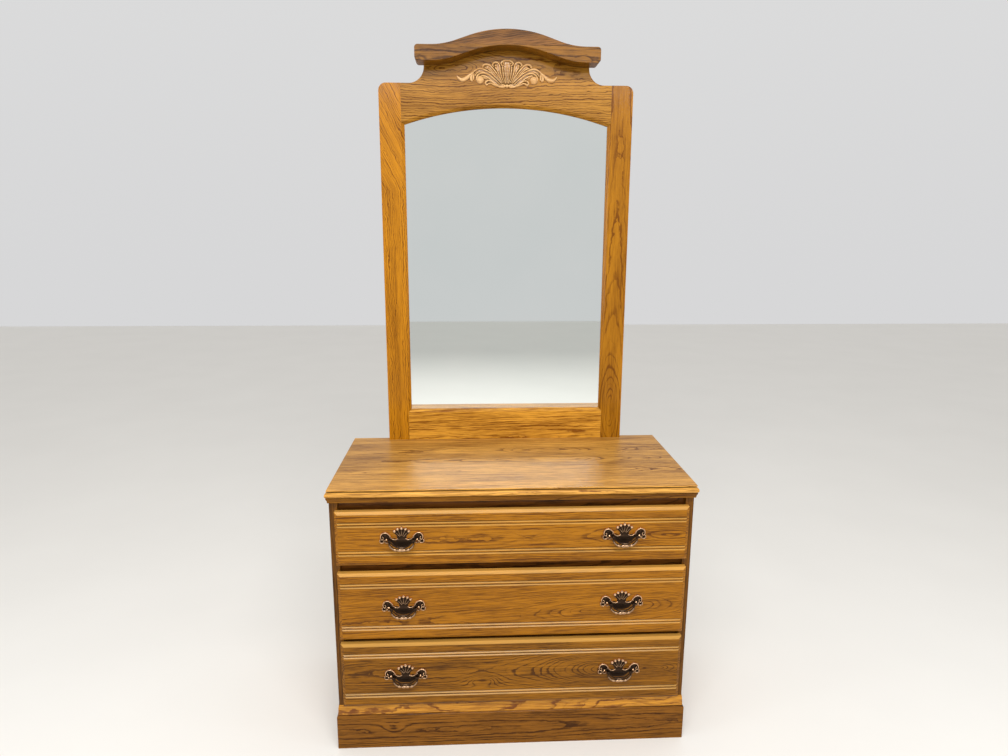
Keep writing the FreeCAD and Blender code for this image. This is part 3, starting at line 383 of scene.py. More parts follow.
def mitred_oak(name, middle, corner_sum, seed, light=HONEY, dark=HONEY_DARK, ring=4.5, coat=0.5):
    """Oak on strips mitred at the case's front corners: the grain turns with the strip."""
    material, web, shader = new_material(name)
    x, y, z = web.split(web.node("TexCoord").outputs["Object"])
    at_side = web.maths("GREATER_THAN", web.add(web.maths("ABSOLUTE", x), y), corner_sum)
    grain = {"Light": light, "Dark": dark, "Ring": ring, "Seed": seed, "Pith across": 30.0,
             "Pith depth": 40.0}
    front = oak_sample(web, board_place(web, "XZY", middle), grain)
    side = oak_sample(web, board_place(web, "YZX", middle), grain)
    colour = web.mix(at_side, front[0], side[0])
    height = web.add(web.times(front[1], web.less(1.0, at_side)), web.times(side[1], at_side))
    lacquer(web, shader, colour, height, coat=coat)
    return material


def paint(node, material):
    """Gives a CAD node its material."""
    slots = frame["nodes"][node].data.materials
    slots.clear()
    slots.append(material)


def middle_of(node):
    low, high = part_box(node)
    return (low + high) / 2


# how wide sharp edges are rounded
CASE_EDGE = 0.8 * MM
TOP_EDGE = 0.5 * MM
FRAME_EDGE = 1.2 * MM
WELD_REACH = 0.02 * MM


def soften(node, width, angle=34):
    """Rounds a CAD node's sharp edges slightly."""
    thing = frame["nodes"][node]
    weld = thing.modifiers.new("weld", "WELD")
    weld.merge_threshold = WELD_REACH
    bevel = thing.modifiers.new("edges", "BEVEL")
    bevel.width = width
    bevel.segments = 2
    bevel.limit_method = "ANGLE"
    bevel.angle_limit = math.radians(angle)
    bevel.harden_normals = False


# Case
PLINTH_COAT = 0.12


def top_finish():
    """The top's glued boards with painted shade in their hollows, and the moulding under them, painted darker
    as the shade under the top's overhang.
    """
    paint("top_panel", oak("top_oak", "XYZ", middle_of("top_panel"), light=shade(206, 150, 66),
                           dark=shade(112, 66, 8), board=118.0, seed=3.1, pith_depth=14.0, centre=140.0,
                           rise=40.0, reach=260.0, ring=5.5, contrast=1.7,
                           finish={"shade_reach": 0.005, "coat": 0.36, "coat_roughness": 0.5}))
    low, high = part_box("top_moulding")
    # the moulding's dark colours are painted shade, for the shade under the top's overhang
    paint("top_moulding", mitred_oak("cove_oak", (low + high) / 2, high.x + low.y, 5.3,
                                     light=shade(124, 78, 14), dark=shade(66, 34, 2), coat=0.08))
    soften("top_panel", TOP_EDGE, 50)


def side_finish():
    """Side panels, and the dark strips at their front edges."""
    for number, side in enumerate(HANDS):
        panel = "side_panel_" + side
        paint(panel, oak(panel, "ZYX", middle_of(panel), board=145.0, seed=11.0 + number, pith_depth=12.0,
                         centre=120.0, rise=36.0, reach=160.0))
        soften(panel, CASE_EDGE)
        stile = "stile_" + side
        # the stiles get painted shade in their corners and hollows
        paint(stile, oak(stile, "ZXY", middle_of(stile), light=shade(112, 70, 18), dark=shade(56, 30, 4),
                         seed=14.0 + number, pith_across=60.0, ring=4.0,
                         finish={"shade_reach": 0.012, "coat": 0.1}))


def rail_finish():
    """The rails that show between the drawers, in dark colours with deep painted shade: both stand in for the
    shade of their recess behind the fronts.
    """
    for number, rail in enumerate(("bottom_rail", "lower_divider_rail", "upper_divider_rail", "top_rail")):
        paint(rail, oak(rail, "XZY", middle_of(rail), seed=21.0 + number, light=shade(108, 62, 18),
                        dark=shade(54, 28, 6), ring=4.0, finish={"shade_reach": 0.03, "coat": 0.2}))


def plinth_finish():
    """The dull brown plinth, and the thin moulding above it."""
    low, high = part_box("foot_moulding")
    paint("foot_moulding", mitred_oak("foot_oak", (low + high) / 2, high.x + low.y, 6.9, ring=4.0))
    for number, word in enumerate(("front", "back")):
        node = "plinth_" + word
        paint(node, oak(node, "XZY", middle_of(node), seed=30.6 + number, light=BASE, dark=BASE_DARK,
                        pith_depth=30.0, knot_along=-340.0, knot_across=8.0, knot=30.0,
                        finish={"coat": PLINTH_COAT}))
    for number, word in enumerate(HANDS):
        node = "plinth_" + word
        paint(node, oak(node, "YZX", middle_of(node), seed=33.0 + number, light=BASE, dark=BASE_DARK,
                        pith_depth=30.0, finish={"coat": PLINTH_COAT}))
    for word in ("front", "left", "right"):
        soften("plinth_" + word, CASE_EDGE)


# Drawers
FRONT_GRAINS = {
    "upper": {"seed": 41.3, "pith_depth": 16.0, "pith_across": 4.0, "centre": 430.0, "rise": 44.0,
              "reach": 190.0, "wander": 14.0, "ring": 4.4, "contrast": 1.5, "streak": 0.44},
    "middle": {"seed": 44.2, "pith_depth": 12.0, "pith_across": 84.0, "centre": 285.0, "rise": 54.0,
               "reach": 190.0, "wander": 14.0, "ring": 4.8, "contrast": 1.2, "streak": 0.38,
               "lean": -0.05, "lean_from": -1000.0},
    "lower": {"seed": 47.1, "pith_depth": 8.0, "pith_across": -2.0, "centre": 350.0, "rise": 96.0,
              "reach": 240.0, "wander": 12.0, "ring": 4.0, "contrast": 1.5, "streak": 0.42,
              "knot_along": -86.0, "knot_across": -24.0, "knot": 32.0},
}
# light and dark colour of each front; they get darker from the upper front to the lower one, painted shade
# for the overhead light falling off towards the floor
FRONT_COLOURS = {
    "upper": (shade(164, 105, 12), shade(94, 51, 0)),
    "middle": (shade(159, 101, 10), shade(86, 46, 0)),
    "lower": (shade(142, 90, 10), shade(72, 40, 0)),
}


def drawer_finish():
    """Fronts with the photo's figure, on boxes of plain wood."""
    plain = plain_wood()
    for word in WORDS:
        node = word + "_drawer_front"
        light, dark = FRONT_COLOURS[word]
        # the fronts get painted shade in their grooves and a painted highlight on their up-facing bevels and
        # groove flanks
        paint(node, oak(node, "XZY", middle_of(node), light=light, dark=dark,
                        finish={"shade_reach": 0.006, "coat": 0.2, "coat_roughness": 0.2, "upward_highlight": 0.38},
                        **FRONT_GRAINS[word]))
        for piece in ("side_left", "side_right", "back", "bottom"):
            paint(f"{word}_drawer_{piece}", plain)


def plain_wood():
    """Bare pale softwood of the drawer boxes."""
    material, web, shader = new_material("plain_wood")
    place = board_place(web, "XZY", (0, 0, 0))
    colour, height = oak_sample(web, place, {"Light": shade(222, 192, 144), "Dark": shade(172, 126, 76),
                                             "Contrast": 0.5, "Ring": 7.0, "Seed": 71.0})
    web.feed(shader.inputs["Base Color"], colour)
    shader.inputs["Roughness"].default_value = 0.7
    return material


# Mirror
POST_GRAINS = {
    "left": {"light": shade(180, 118, 16), "seed": 52.2, "pith_depth": 20.0, "pith_across": 70.0,
             "wander": 9.0, "ring": 5.4, "wave": 2.4, "contrast": 1.3, "streak": 0.18,
             "lean": 0.5, "lean_from": 240.0},
    "right": {"light": shade(160, 105, 16), "seed": 55.2, "pith_depth": 14.0, "centre": -440.0, "rise": 52.0,
              "reach": 130.0, "wander": 7.0, "ring": 6.5, "contrast": 1.5, "streak": 0.26},
}


def frame_finish():
    """The mirror's posts, sill and head."""
    # the posts, sill and head get painted shade in their hollows and creases
    for side in HANDS:
        node = "mirror_post_" + side
        paint(node, oak(node, "ZXY", middle_of(node), dark=AMBER_DARK, finish={"shade_reach": 0.01, "coat": 0.16},
                        **POST_GRAINS[side]))
    sill = "mirror_sill_rail"
    paint(sill, oak(sill, "XZY", middle_of(sill), light=shade(200, 142, 46), turn=2.0, seed=58.0,
                    pith_across=50.0, wander=12.0, ring=5.0, contrast=1.2,
                    finish={"shade_reach": 0.01, "coat": 0.3}))
    head = "mirror_head"
    paint(head, oak(head, "XZY", middle_of(head), light=TAN, dark=TAN_DARK, seed=61.0, pith_depth=8.0,
                    pith_across=-36.0, centre=-160.0, rise=44.0, reach=90.0, wander=12.0, ring=6.0, wave=1.6,
                    contrast=2.0, streak=0.26, finish={"shade_reach": 0.009, "coat": 0.08}))
    for node in ("mirror_post_left", "mirror_post_right", sill, head):
        soften(node, FRAME_EDGE)


def back_finish():
    """Hardboard behind the case and the mirror. The other hidden pieces keep the frame's flat colour."""
    board = hardboard()
    for node in ("back_panel", "mirror_backboard"):
        paint(node, board)


GLUE_LINE = 1976.5 * MM
GLUE_BLUR = 0.3 * MM


def crest_oak():
    """Two glued boards: golden below the glue line, redder above it with slanting grain."""
    material, web, shader = new_material("crest_oak")
    middle = middle_of("mirror_crest")
    height_up = web.split(web.node("TexCoord").outputs["Object"])[2]
    upper = web.span(height_up, GLUE_LINE - GLUE_BLUR, GLUE_LINE + GLUE_BLUR)
    low = oak_sample(web, board_place(web, "XZY", middle), {
        "Light": shade(134, 88, 22), "Dark": shade(66, 36, 0), "Seed": 64.0, "Pith across": 50.0,
        "Pith depth": 90.0, "Contrast": 1.4})
    high = oak_sample(web, board_place(web, "XZY", middle, 9.0), {
        "Light": shade(128, 83, 30), "Dark": shade(60, 32, 0), "Seed": 66.5, "Pith across": 70.0,
        "Pith depth": 100.0, "Ring": 4.5, "Wander": 20.0, "Contrast": 1.4})
    colour = web.mix(upper, low[0], high[0])
    relief = web.add(web.times(low[1], web.less(1.0, upper)), web.times(high[1], upper))
    lacquer(web, shader, colour, relief, coat=0.06)
    return material


def silvered_glass():
    """Mirror glass with a faint haze."""
    material, web, shader = new_material("silvered_glass")
    place = board_place(web, "XZY", (0, 0, 0))
    haze = web.noise(place, 0.004, 3.0)
    web.feed(shader.inputs["Roughness"], web.span(haze[0], 0.3, 0.8, 0.0, 0.03))
    web.feed(shader.inputs["Base Color"], web.mix(haze[0], shade(232, 238, 236), shade(240, 243, 241)))
    shader.inputs["Metallic"].default_value = 1.0
    return material


def hardboard():
    """Flecked brown hardboard."""
    material, web, shader = new_material("hardboard")
    place = board_place(web, "XZY", (0, 0, 0))
    fleck = web.noise(place, 0.6, 4.0, 0.7)
    cloud = web.noise(place, 0.01, 2.0)
    colour = web.mix(fleck[0], shade(134, 98, 62), shade(166, 126, 84))
    web.feed(shader.inputs["Base Color"], web.mix(web.times(cloud[0], 0.4), colour, shade(120, 84, 52)))
    shader.inputs["Roughness"].default_value = 0.8
    return material


# Relief: strokes with a rounded section, laid over each other and cut out along their outline
def smooth_path(points, steps=7):
    """More points on a smooth curve through the given ones, each with its radius."""
    rows = np.array(points, float)
    if len(rows) < 3:
        return rows
    padded = np.vstack([2 * rows[0] - rows[1], rows, 2 * rows[-1] - rows[-2]])
    made = []
    for before, start, end, after in zip(padded, padded[1:], padded[2:], padded[3:]):
        for share in np.arange(steps) / steps:
            made.append(0.5 * (2 * start + (end - before) * share
                               + (2 * before - 5 * start + 4 * end - after) * share ** 2
                               + (3 * start - before - 3 * end + after) * share ** 3))
    made.append(rows[-1])
    return np.array(made)


def stroke_height(across, up, points, low, high):
    """Height of one stroke over the grid, and how far inside its edge each place is."""
    path = smooth_path(points)
    inside = np.full(across.shape, -9.0)
    height = np.zeros(across.shape)
    for (x1, z1, r1), (x2, z2, r2) in zip(path, path[1:]):
        run = max((x2 - x1) ** 2 + (z2 - z1) ** 2, 1e-9)
        share = np.clip(((across - x1) * (x2 - x1) + (up - z1) * (z2 - z1)) / run, 0, 1)
        away = np.hypot(across - x1 - share * (x2 - x1), up - z1 - share * (z2 - z1))
        radius = r1 + share * (r2 - r1)
        inside = np.maximum(inside, radius - away)
        bulge = np.sqrt(np.clip(1 - (away / radius) ** 2, 0, 1))
        height = np.maximum(height, np.where(away < radius, low + (high - low) * bulge, 0))
    return height, inside


def relief_mesh(name, strokes, cell, proud):
    """A carved or cast plate from strokes: (points, low, high), points being (across, up, radius).

    It lies in the XZ plane, rises towards -Y, and has a 'worn' value that is high on its ridges and
    on what stands higher than proud."""
    all_strokes = list(strokes)
    for points, low, high in strokes:
        if max(abs(point[0]) for point in points) > cell:
            all_strokes.append(([(-x, z, r) for x, z, r in points], low, high))
    xs = [x + s * r for points, _, _ in all_strokes for x, _, r in points for s in (-1, 1)]
    zs = [z + s * r for points, _, _ in all_strokes for _, z, r in points for s in (-1, 1)]
    columns = np.arange(min(xs) - 2 * cell, max(xs) + 3 * cell, cell)
    rows = np.arange(min(zs) - 2 * cell, max(zs) + 3 * cell, cell)
    across, up = np.meshgrid(columns, rows)
    height = np.zeros(across.shape)
    inside = np.full(across.shape, -9.0)
    for points, low, high in all_strokes:
        one_height, one_inside = stroke_height(across, up, points, low, high)
        height = np.maximum(height, one_height)
        inside = np.maximum(inside, one_inside)
    around = height.copy()
    for _ in range(3):
        grown = np.pad(around, 1, mode="edge")
        beside = grown[1:-1, :-2] + grown[1:-1, 2:]
        around = (grown[:-2, 1:-1] + grown[2:, 1:-1] + beside + grown[1:-1, 1:-1]) / 5
    wear_and_highlight = height - around + np.clip((height - proud) / 2, 0, 1)
    return clipped_solid(name, across, up, height, inside, wear_and_highlight)


def clipped_faces(across, up, height, inside, wear_and_highlight):
    """The part of a height field that lies inside its outline: places, faces and worn values."""
    places, values, numbers, faces = [], [], {}, []

    def corner(key, x, z, rise, wear):
        if key not in numbers:
            numbers[key] = len(places)
            places.append((x * MM, -rise * MM, z * MM))
            values.append(wear)
        return numbers[key]

    count_up, count_across = inside.shape
    for row in range(count_up - 1):
        for column in range(count_across - 1):
            cells = ((row, column), (row, column + 1), (row + 1, column + 1), (row + 1, column))
            if all(inside[c] <= 0 for c in cells):
                continue
            face = []
            for here, there in zip(cells, cells[1:] + cells[:1]):
                if inside[here] > 0:
                    face.append(corner(here, across[here], up[here], height[here], wear_and_highlight[here]))
                if (inside[here] > 0) != (inside[there] > 0):
                    share = inside[here] / (inside[here] - inside[there])
                    inner = here if inside[here] > 0 else there
                    x = across[here] + share * (across[there] - across[here])
                    z = up[here] + share * (up[there] - up[here])
                    key = (min(here, there), max(here, there))
                    face.append(corner(key, x, z, height[inner] * 0.75, wear_and_highlight[inner]))
            faces.append(face)
    return places, faces, values


def clipped_solid(name, across, up, height, inside, wear_and_highlight):
    """Closed mesh between the clipped height field and its flat back."""
    places, faces, values = clipped_faces(across, up, height, inside, wear_and_highlight)
    edges = set()
    for face in faces:
        for one, two in zip(face, face[1:] + face[:1]):
            edges.add((one, two))
    count = len(places)
    rim = [(one, two) for one, two in sorted(edges) if (two, one) not in edges]
    back = [tuple(number + count for number in reversed(face)) for face in faces]
    walls = [(two, one, one + count, two + count) for one, two in rim]
    mesh = bpy.data.meshes.new(name)
    mesh.from_pydata(places + [(x, 0, z) for x, _, z in places], [], faces + back + walls)
    layer = mesh.attributes.new("wear_and_highlight", "FLOAT", "POINT")
    layer.data.foreach_set("value", np.array(values * 2, float))
    mesh.validate()
    mesh.update()
    finish_shading(mesh, 50)
    return mesh


def finish_shading(mesh, angle):
    mesh.polygons.foreach_set("use_smooth", [True] * len(mesh.polygons))
    mesh.set_sharp_from_angle(angle=math.radians(angle))


def show(name, mesh, body, place, material, slot, *stands_for):
    """Puts a mesh in the scene as a piece that rides on a body."""
    thing = bpy.data.objects.new(name, mesh)
    bpy.context.collection.objects.link(thing)
    thing.location = place
    if not mesh.materials:
        mesh.materials.append(material)
    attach(thing, body)
    if stands_for:
        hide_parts(*stands_for)
    return thing


# Pulls
def bronze(name, spread):
    """Dark cast bronze, turning bright copper where the mesh's wear value is high: real wear on the plates'
    ridges, and on the bail's front side wear together with a painted highlight.
    """
    material, web, shader = new_material(name)
    wear_and_highlight = web.node("Attribute", attribute_name="wear_and_highlight").outputs["Fac"]
    place = board_place(web, "XZY", (0, 0, 0))
    grime = web.noise(place, 0.35, 3.0)
    edge = web.span(web.add(wear_and_highlight, web.times(web.less(grime[0], 0.5), spread * 0.6)), spread * 0.25, spread)
    web.feed(shader.inputs["Base Color"], web.mix(edge, shade(56, 42, 32), shade(240, 194, 150)))
    web.feed(shader.inputs["Roughness"], web.span(edge, 0.0, 1.0, 0.5, 0.24))
    shader.inputs["Metallic"].default_value = 1.0
    emboss(web, shader, grime[0], 0.15)
    return material


# Pull plate: strokes of the right half, as (points, low, high); a point is (across, up, radius)
FAN_TURNS = (0.0, math.radians(23), math.radians(45))


def fan_stroke(turn, near, far, low, high):
    """A stroke along one rib of the fan; near and far are (distance from its root, radius)."""
    points = [(math.sin(turn) * reach, 4 + math.cos(turn) * reach, radius) for reach, radius in (near, far)]
    return points, low, high


FAN = [fan_stroke(turn, (6, 6.0), (22, 5.2), 1.2, 1.9) for turn in FAN_TURNS]
FAN += [fan_stroke(turn, (7, 0.9), (23, 1.9), 1.8, 4.7) for turn in FAN_TURNS]
FAN += [fan_stroke(turn, (26.8, 4.2), (27.2, 4.2), 2.6, 5.6) for turn in FAN_TURNS]
PLATE = FAN + [
    # neck and body, with a low dark floor along the body's lower edge: painted shadow, filling the shaded gap
    # above the bail
    ([(0, 4, 12.5), (0, 10, 12)], 1.4, 2.6),
    ([(0, -9, 11.0), (10, -8, 9.0), (20, -5, 6.6), (30, -1, 4.6)], 0.9, 1.1),
    ([(0, -15.5, 7.5), (9, -15.2, 7.2), (17, -13.4, 6.0), (23, -9.6, 4.4), (28, -5, 3.2)], 0.8, 1.0),
    ([(0, -4, 6.0), (10, -5, 5.2), (20, -3.4, 4.0), (30, 0, 3.2)], 1.6, 3.8),
    ([(11, 1.6, 1.7), (16, -0.8, 1.6), (22, -0.4, 1.6), (27, 2.6, 1.6), (32, 7, 1.6)], 1.8, 5.0),
    # side scroll: floor, rim and curls
    ([(39, 7, 9.5), (47, 6, 9.5)], 0.8, 1.0),
    ([(46, -2, 7), (53, -2, 6)], 0.8, 1.0),
    ([(30, 8, 1.8), (35, 14.4, 1.8), (42, 18.6, 1.9), (50, 17.6, 1.9), (55, 12.4, 1.8), (56, 6, 1.6)],
     1.6, 5.2),
    ([(56, 6, 1.6), (54.6, 0.4, 1.5), (50, 0.2, 1.5), (48.6, 4.6, 1.5), (51, 7.6, 1.5)], 1.6, 5.0),
    ([(58, -1.4, 1.8), (57.6, -7.6, 1.8), (52, -10, 1.7), (47, -7, 1.6), (48, -3, 1.5)], 1.6, 5.0),
    ([(44, 9, 3.2), (45, 9, 3.2)], 0.8, 2.4),
    ([(40.4, -0.4, 3.0), (40.8, -0.2, 3.0)], 2.8, 6.2),
    ([(34, -7, 1.7), (39, -10.4, 1.7), (44, -8.4, 1.6), (44, -4.6, 1.5)], 1.4, 4.8),
]


def turned_rows(profile, sides=28):
    """Rings of points about the Y axis from (radius, out) pairs, as (rows, quads)."""
    rows, faces = [], []
    for radius, out in profile:
        for side in range(sides):
            turn = 2 * math.pi * side / sides
            rows.append((radius * math.cos(turn), -out, radius * math.sin(turn)))
    for ring in range(len(profile) - 1):
        for side in range(sides):
            beside = (side + 1) % sides
            faces.append((ring * sides + side, ring * sides + beside,
                          (ring + 1) * sides + beside, (ring + 1) * sides + side))
    faces.append(tuple(reversed(range(sides))))
    last = (len(profile) - 1) * sides
    faces.append(tuple(range(last, last + sides)))
    return rows, faces


def cheek_rows(radius, gap, start, end, dome, side, count=14):
    """One half of a slotted post's head: a domed D section beyond the slot's floor."""
    reach = math.acos(gap / radius)
    outline = [(side * radius * math.cos(turn), radius * math.sin(turn))
               for turn in np.linspace(-reach, reach, count)]
    rows, faces = [], []
    levels = [(1.0, start), (1.0, end - dome), (0.93, end - dome * 0.45), (0.78, end - dome * 0.12),
              (0.6, end)]
    for scale, out in levels:
        for x, z in outline:
            rows.append((side * max(abs(x) * scale, gap), -out, z * scale))
    size = len(outline)
    for level in range(len(levels) - 1):
        for number in range(size):
            beside = (number + 1) % size
            quad = (level * size + number, level * size + beside,
                    (level + 1) * size + beside, (level + 1) * size + number)
            faces.append(quad if side > 0 else tuple(reversed(quad)))
    caps = [tuple(reversed(range(size))), tuple(range((len(levels) - 1) * size, len(levels) * size))]
    faces += caps if side > 0 else [tuple(reversed(cap)) for cap in caps]
    return rows, faces


def merged(name, parts, wear_and_highlight):
    """One mesh from several closed shells; parts are (rows, faces, shift) in millimetres."""
    places, faces, values = [], [], []
    for (rows, part_faces, shift), wear in zip(parts, wear_and_highlight):
        start = len(places)
        places += [tuple((a + b) * MM for a, b in zip(row, shift)) for row in rows]
        faces += [tuple(number + start for number in face) for face in part_faces]
        values += wear if isinstance(wear, list) else [wear] * len(rows)
    mesh = bpy.data.meshes.new(name)
    mesh.from_pydata(places, [], faces)
    layer = mesh.attributes.new("wear_and_highlight", "FLOAT", "POINT")
    layer.data.foreach_set("value", np.array(values, float))
    mesh.validate()
    mesh.update()
    finish_shading(mesh, 40)
    return mesh


# posts, from the drawer's face outwards, in millimetres
POST_SPACING = 64.0
POST_RADIUS = 5.0
SLOT_FLOOR = 11.9
SLOT_HALF = 1.9
POST_STEM = ((6.2, 0.0), (6.2, 3.4), (5.4, 4.4), (4.4, 5.4), (4.4, 7.6), (POST_RADIUS, 8.8),
             (POST_RADIUS, SLOT_FLOOR))
POST_END = 19.0
POST_DOME = 2.6
PIN_RADIUS = 1.25
PIN_HALF = 4.2
AXIS_REACH = 15.5
EYE_RADIUS = 3.2
EYE_BORE = 1.33
EYE_WIDTH = 3.3


def post_mesh():
    """Both slotted posts of one pull, with their hinge pins."""
    parts, wear_and_highlight = [], []
    pin_rows, pin_faces = turned_rows([(PIN_RADIUS, -PIN_HALF), (PIN_RADIUS, PIN_HALF)], 16)
    pin = [(-y, x, z) for x, y, z in pin_rows]
    for side in (-1, 1):
        shift = (side * POST_SPACING / 2, 0, 0)
        parts.append((*turned_rows(POST_STEM), shift))
        for cheek in (-1, 1):
            parts.append((*cheek_rows(POST_RADIUS, SLOT_HALF, SLOT_FLOOR, POST_END, POST_DOME, cheek), shift))
        parts.append((pin, pin_faces, (shift[0], -AXIS_REACH, 0)))
        wear_and_highlight += [0.0, 0.12, 0.12, 0.1]
    return merged("pull_posts", parts, wear_and_highlight)


def tube_rows(points, sides=18):
    """A round tube through (x, y, z, radius) points that lie about the XZ plane."""
    rows, faces = [], []
    data = np.array(points, float)
    for number, point in enumerate(data):
        ahead = data[min(number + 1, len(data) - 1), :3] - data[max(number - 1, 0), :3]
        ahead = ahead / np.linalg.norm(ahead)
        side = np.array((0.0, 1.0, 0.0))
        side = side - ahead * side.dot(ahead)
        side = side / np.linalg.norm(side)
        other = np.cross(ahead, side)
        for step in range(sides):
            turn = 2 * math.pi * step / sides
            rows.append(tuple(point[:3] + point[3] * (math.cos(turn) * side + math.sin(turn) * other)))
    for ring in range(len(data) - 1):
        for step in range(sides):
            beside = (step + 1) % sides
            faces.append((ring * sides + step, ring * sides + beside,
                          (ring + 1) * sides + beside, (ring + 1) * sides + step))
    faces.append(tuple(reversed(range(sides))))
    faces.append(tuple(range((len(data) - 1) * sides, len(data) * sides)))
    return rows, faces


def eye_rows(outer, inner, width, sides=28):
    """A flat ring about the X axis."""
    rows, faces = [], []
    profile = [(inner, -width / 2), (outer, -width / 2), (outer, width / 2), (inner, width / 2)]
    for radius, x in profile:
        for side in range(sides):
            turn = 2 * math.pi * side / sides
            rows.append((x, radius * math.cos(turn), radius * math.sin(turn)))
    for ring in range(4):
        for side in range(sides):
            beside = (side + 1) % sides
            after = (ring + 1) % 4
            faces.append((ring * sides + side, after * sides + side,
                          after * sides + beside, ring * sides + beside))
    return rows, faces


# right halves of the bail's bar and of the strand above it: (across, out, up, radius) in millimetres
BAIL_HALF = (
    (0.0, 0.0, -25.4, 3.8), (2.8, 0.0, -25.4, 4.3), (5.5, 0.0, -25.4, 4.4), (8.2, 0.0, -25.4, 3.9),
    (10.4, 0.0, -25.3, 2.9), (12.6, 0.0, -25.1, 2.9), (15.6, 0.0, -24.7, 3.8), (18.0, 0.0, -24.0, 3.9),
    (20.6, 0.0, -22.8, 3.2), (24.2, 0.0, -20.4, 3.1), (27.8, 0.0, -17.0, 3.1), (30.6, 0.0, -13.2, 2.9),
    (32.2, 0.0, -9.8, 2.5), (32.4, 0.0, -7.4, 1.9), (32.1, 0.0, -5.4, 1.5), (32.0, 0.0, -2.6, 1.5))
STRAND_HALF = (
    (0.0, 0.4, -18.6, 3.2), (6.0, 0.4, -18.5, 2.8), (12.0, 0.4, -17.4, 2.2), (17.0, 0.4, -15.0, 1.9),
    (22.0, 0.2, -11.2, 1.7), (26.0, 0.0, -7.4, 1.6), (30.6, 0.0, -4.4, 1.5))


def both_halves(half):
    """A whole row of points from its right half."""
    mirrored = [(-row[0],) + row[1:] for row in reversed(half[1:])]
    return mirrored + list(half)


def xz_tube(half):
    """A smooth tube from its right half."""
    return tube_rows(smooth_path(both_halves(half), 4))


def bail_mesh():
    """One bail: its beaded bar, the strand above it and an eye at each end."""
    parts = [(*xz_tube(BAIL_HALF), (0, 0, 0)), (*xz_tube(STRAND_HALF), (0, 0, 0))]
    # each tube's side that faces out towards the front gets a higher value: partly wear, partly a painted
    # highlight for the lamps' reflection along the bail
    wear_and_highlight = [[0.19 * min(max((-y - 0.8) / 2.4, 0), 1) for _, y, _ in rows] for rows, _, _ in parts]
    for side in (-1, 1):
        parts.append((*eye_rows(EYE_RADIUS, EYE_BORE, EYE_WIDTH), (side * POST_SPACING / 2, 0, 0)))
        wear_and_highlight.append(0.02)
    return merged("bail", parts, wear_and_highlight)


def pulls(steel):
    """Plates, posts, bails and screws of the six pulls."""
    plate_metal = bronze("bronze_plate", 0.72)
    rod_metal = bronze("bronze_bail", 0.3)
    plate = relief_mesh("pull_plate", PLATE, 0.4, 4.2)
    posts = post_mesh()
    bail = bail_mesh()
    swings = {joint["child"]: Vector(joint["pos_m"]) for joint in frame["joints"] if joint["type"] == "hinge"}
    for word in WORDS:
        paint(word + "_pull_screws", steel)
        for hand in HANDS:
            hinge = swings[f"{word}_{hand}_bail"]
            foot = hinge + Vector((0, AXIS_REACH * MM, 0))
            show(f"{word}_pull_plate_{hand}", plate, word + "_drawer", foot, plate_metal, "bronze",
                 word + "_pull_plates")
            show(f"{word}_pull_posts_{hand}", posts, word + "_drawer", foot, plate_metal, "bronze")
            show(f"{word}_pull_bail_{hand}", bail, f"{word}_{hand}_bail", hinge, rod_metal, "bronze",
                 f"{word}_bail_{hand}")


def zinc():
    """Dull zinc plate."""
    material, web, shader = new_material("zinc")
    place = board_place(web, "XZY", (0, 0, 0))
    grime = web.noise(place, 0.8, 3.0)
    web.feed(shader.inputs["Base Color"], web.mix(grime[0], shade(150, 146, 138), shade(196, 192, 184)))
    web.feed(shader.inputs["Roughness"], web.span(grime[0], 0.2, 0.8, 0.3, 0.5))
    shader.inputs["Metallic"].default_value = 1.0
    return material


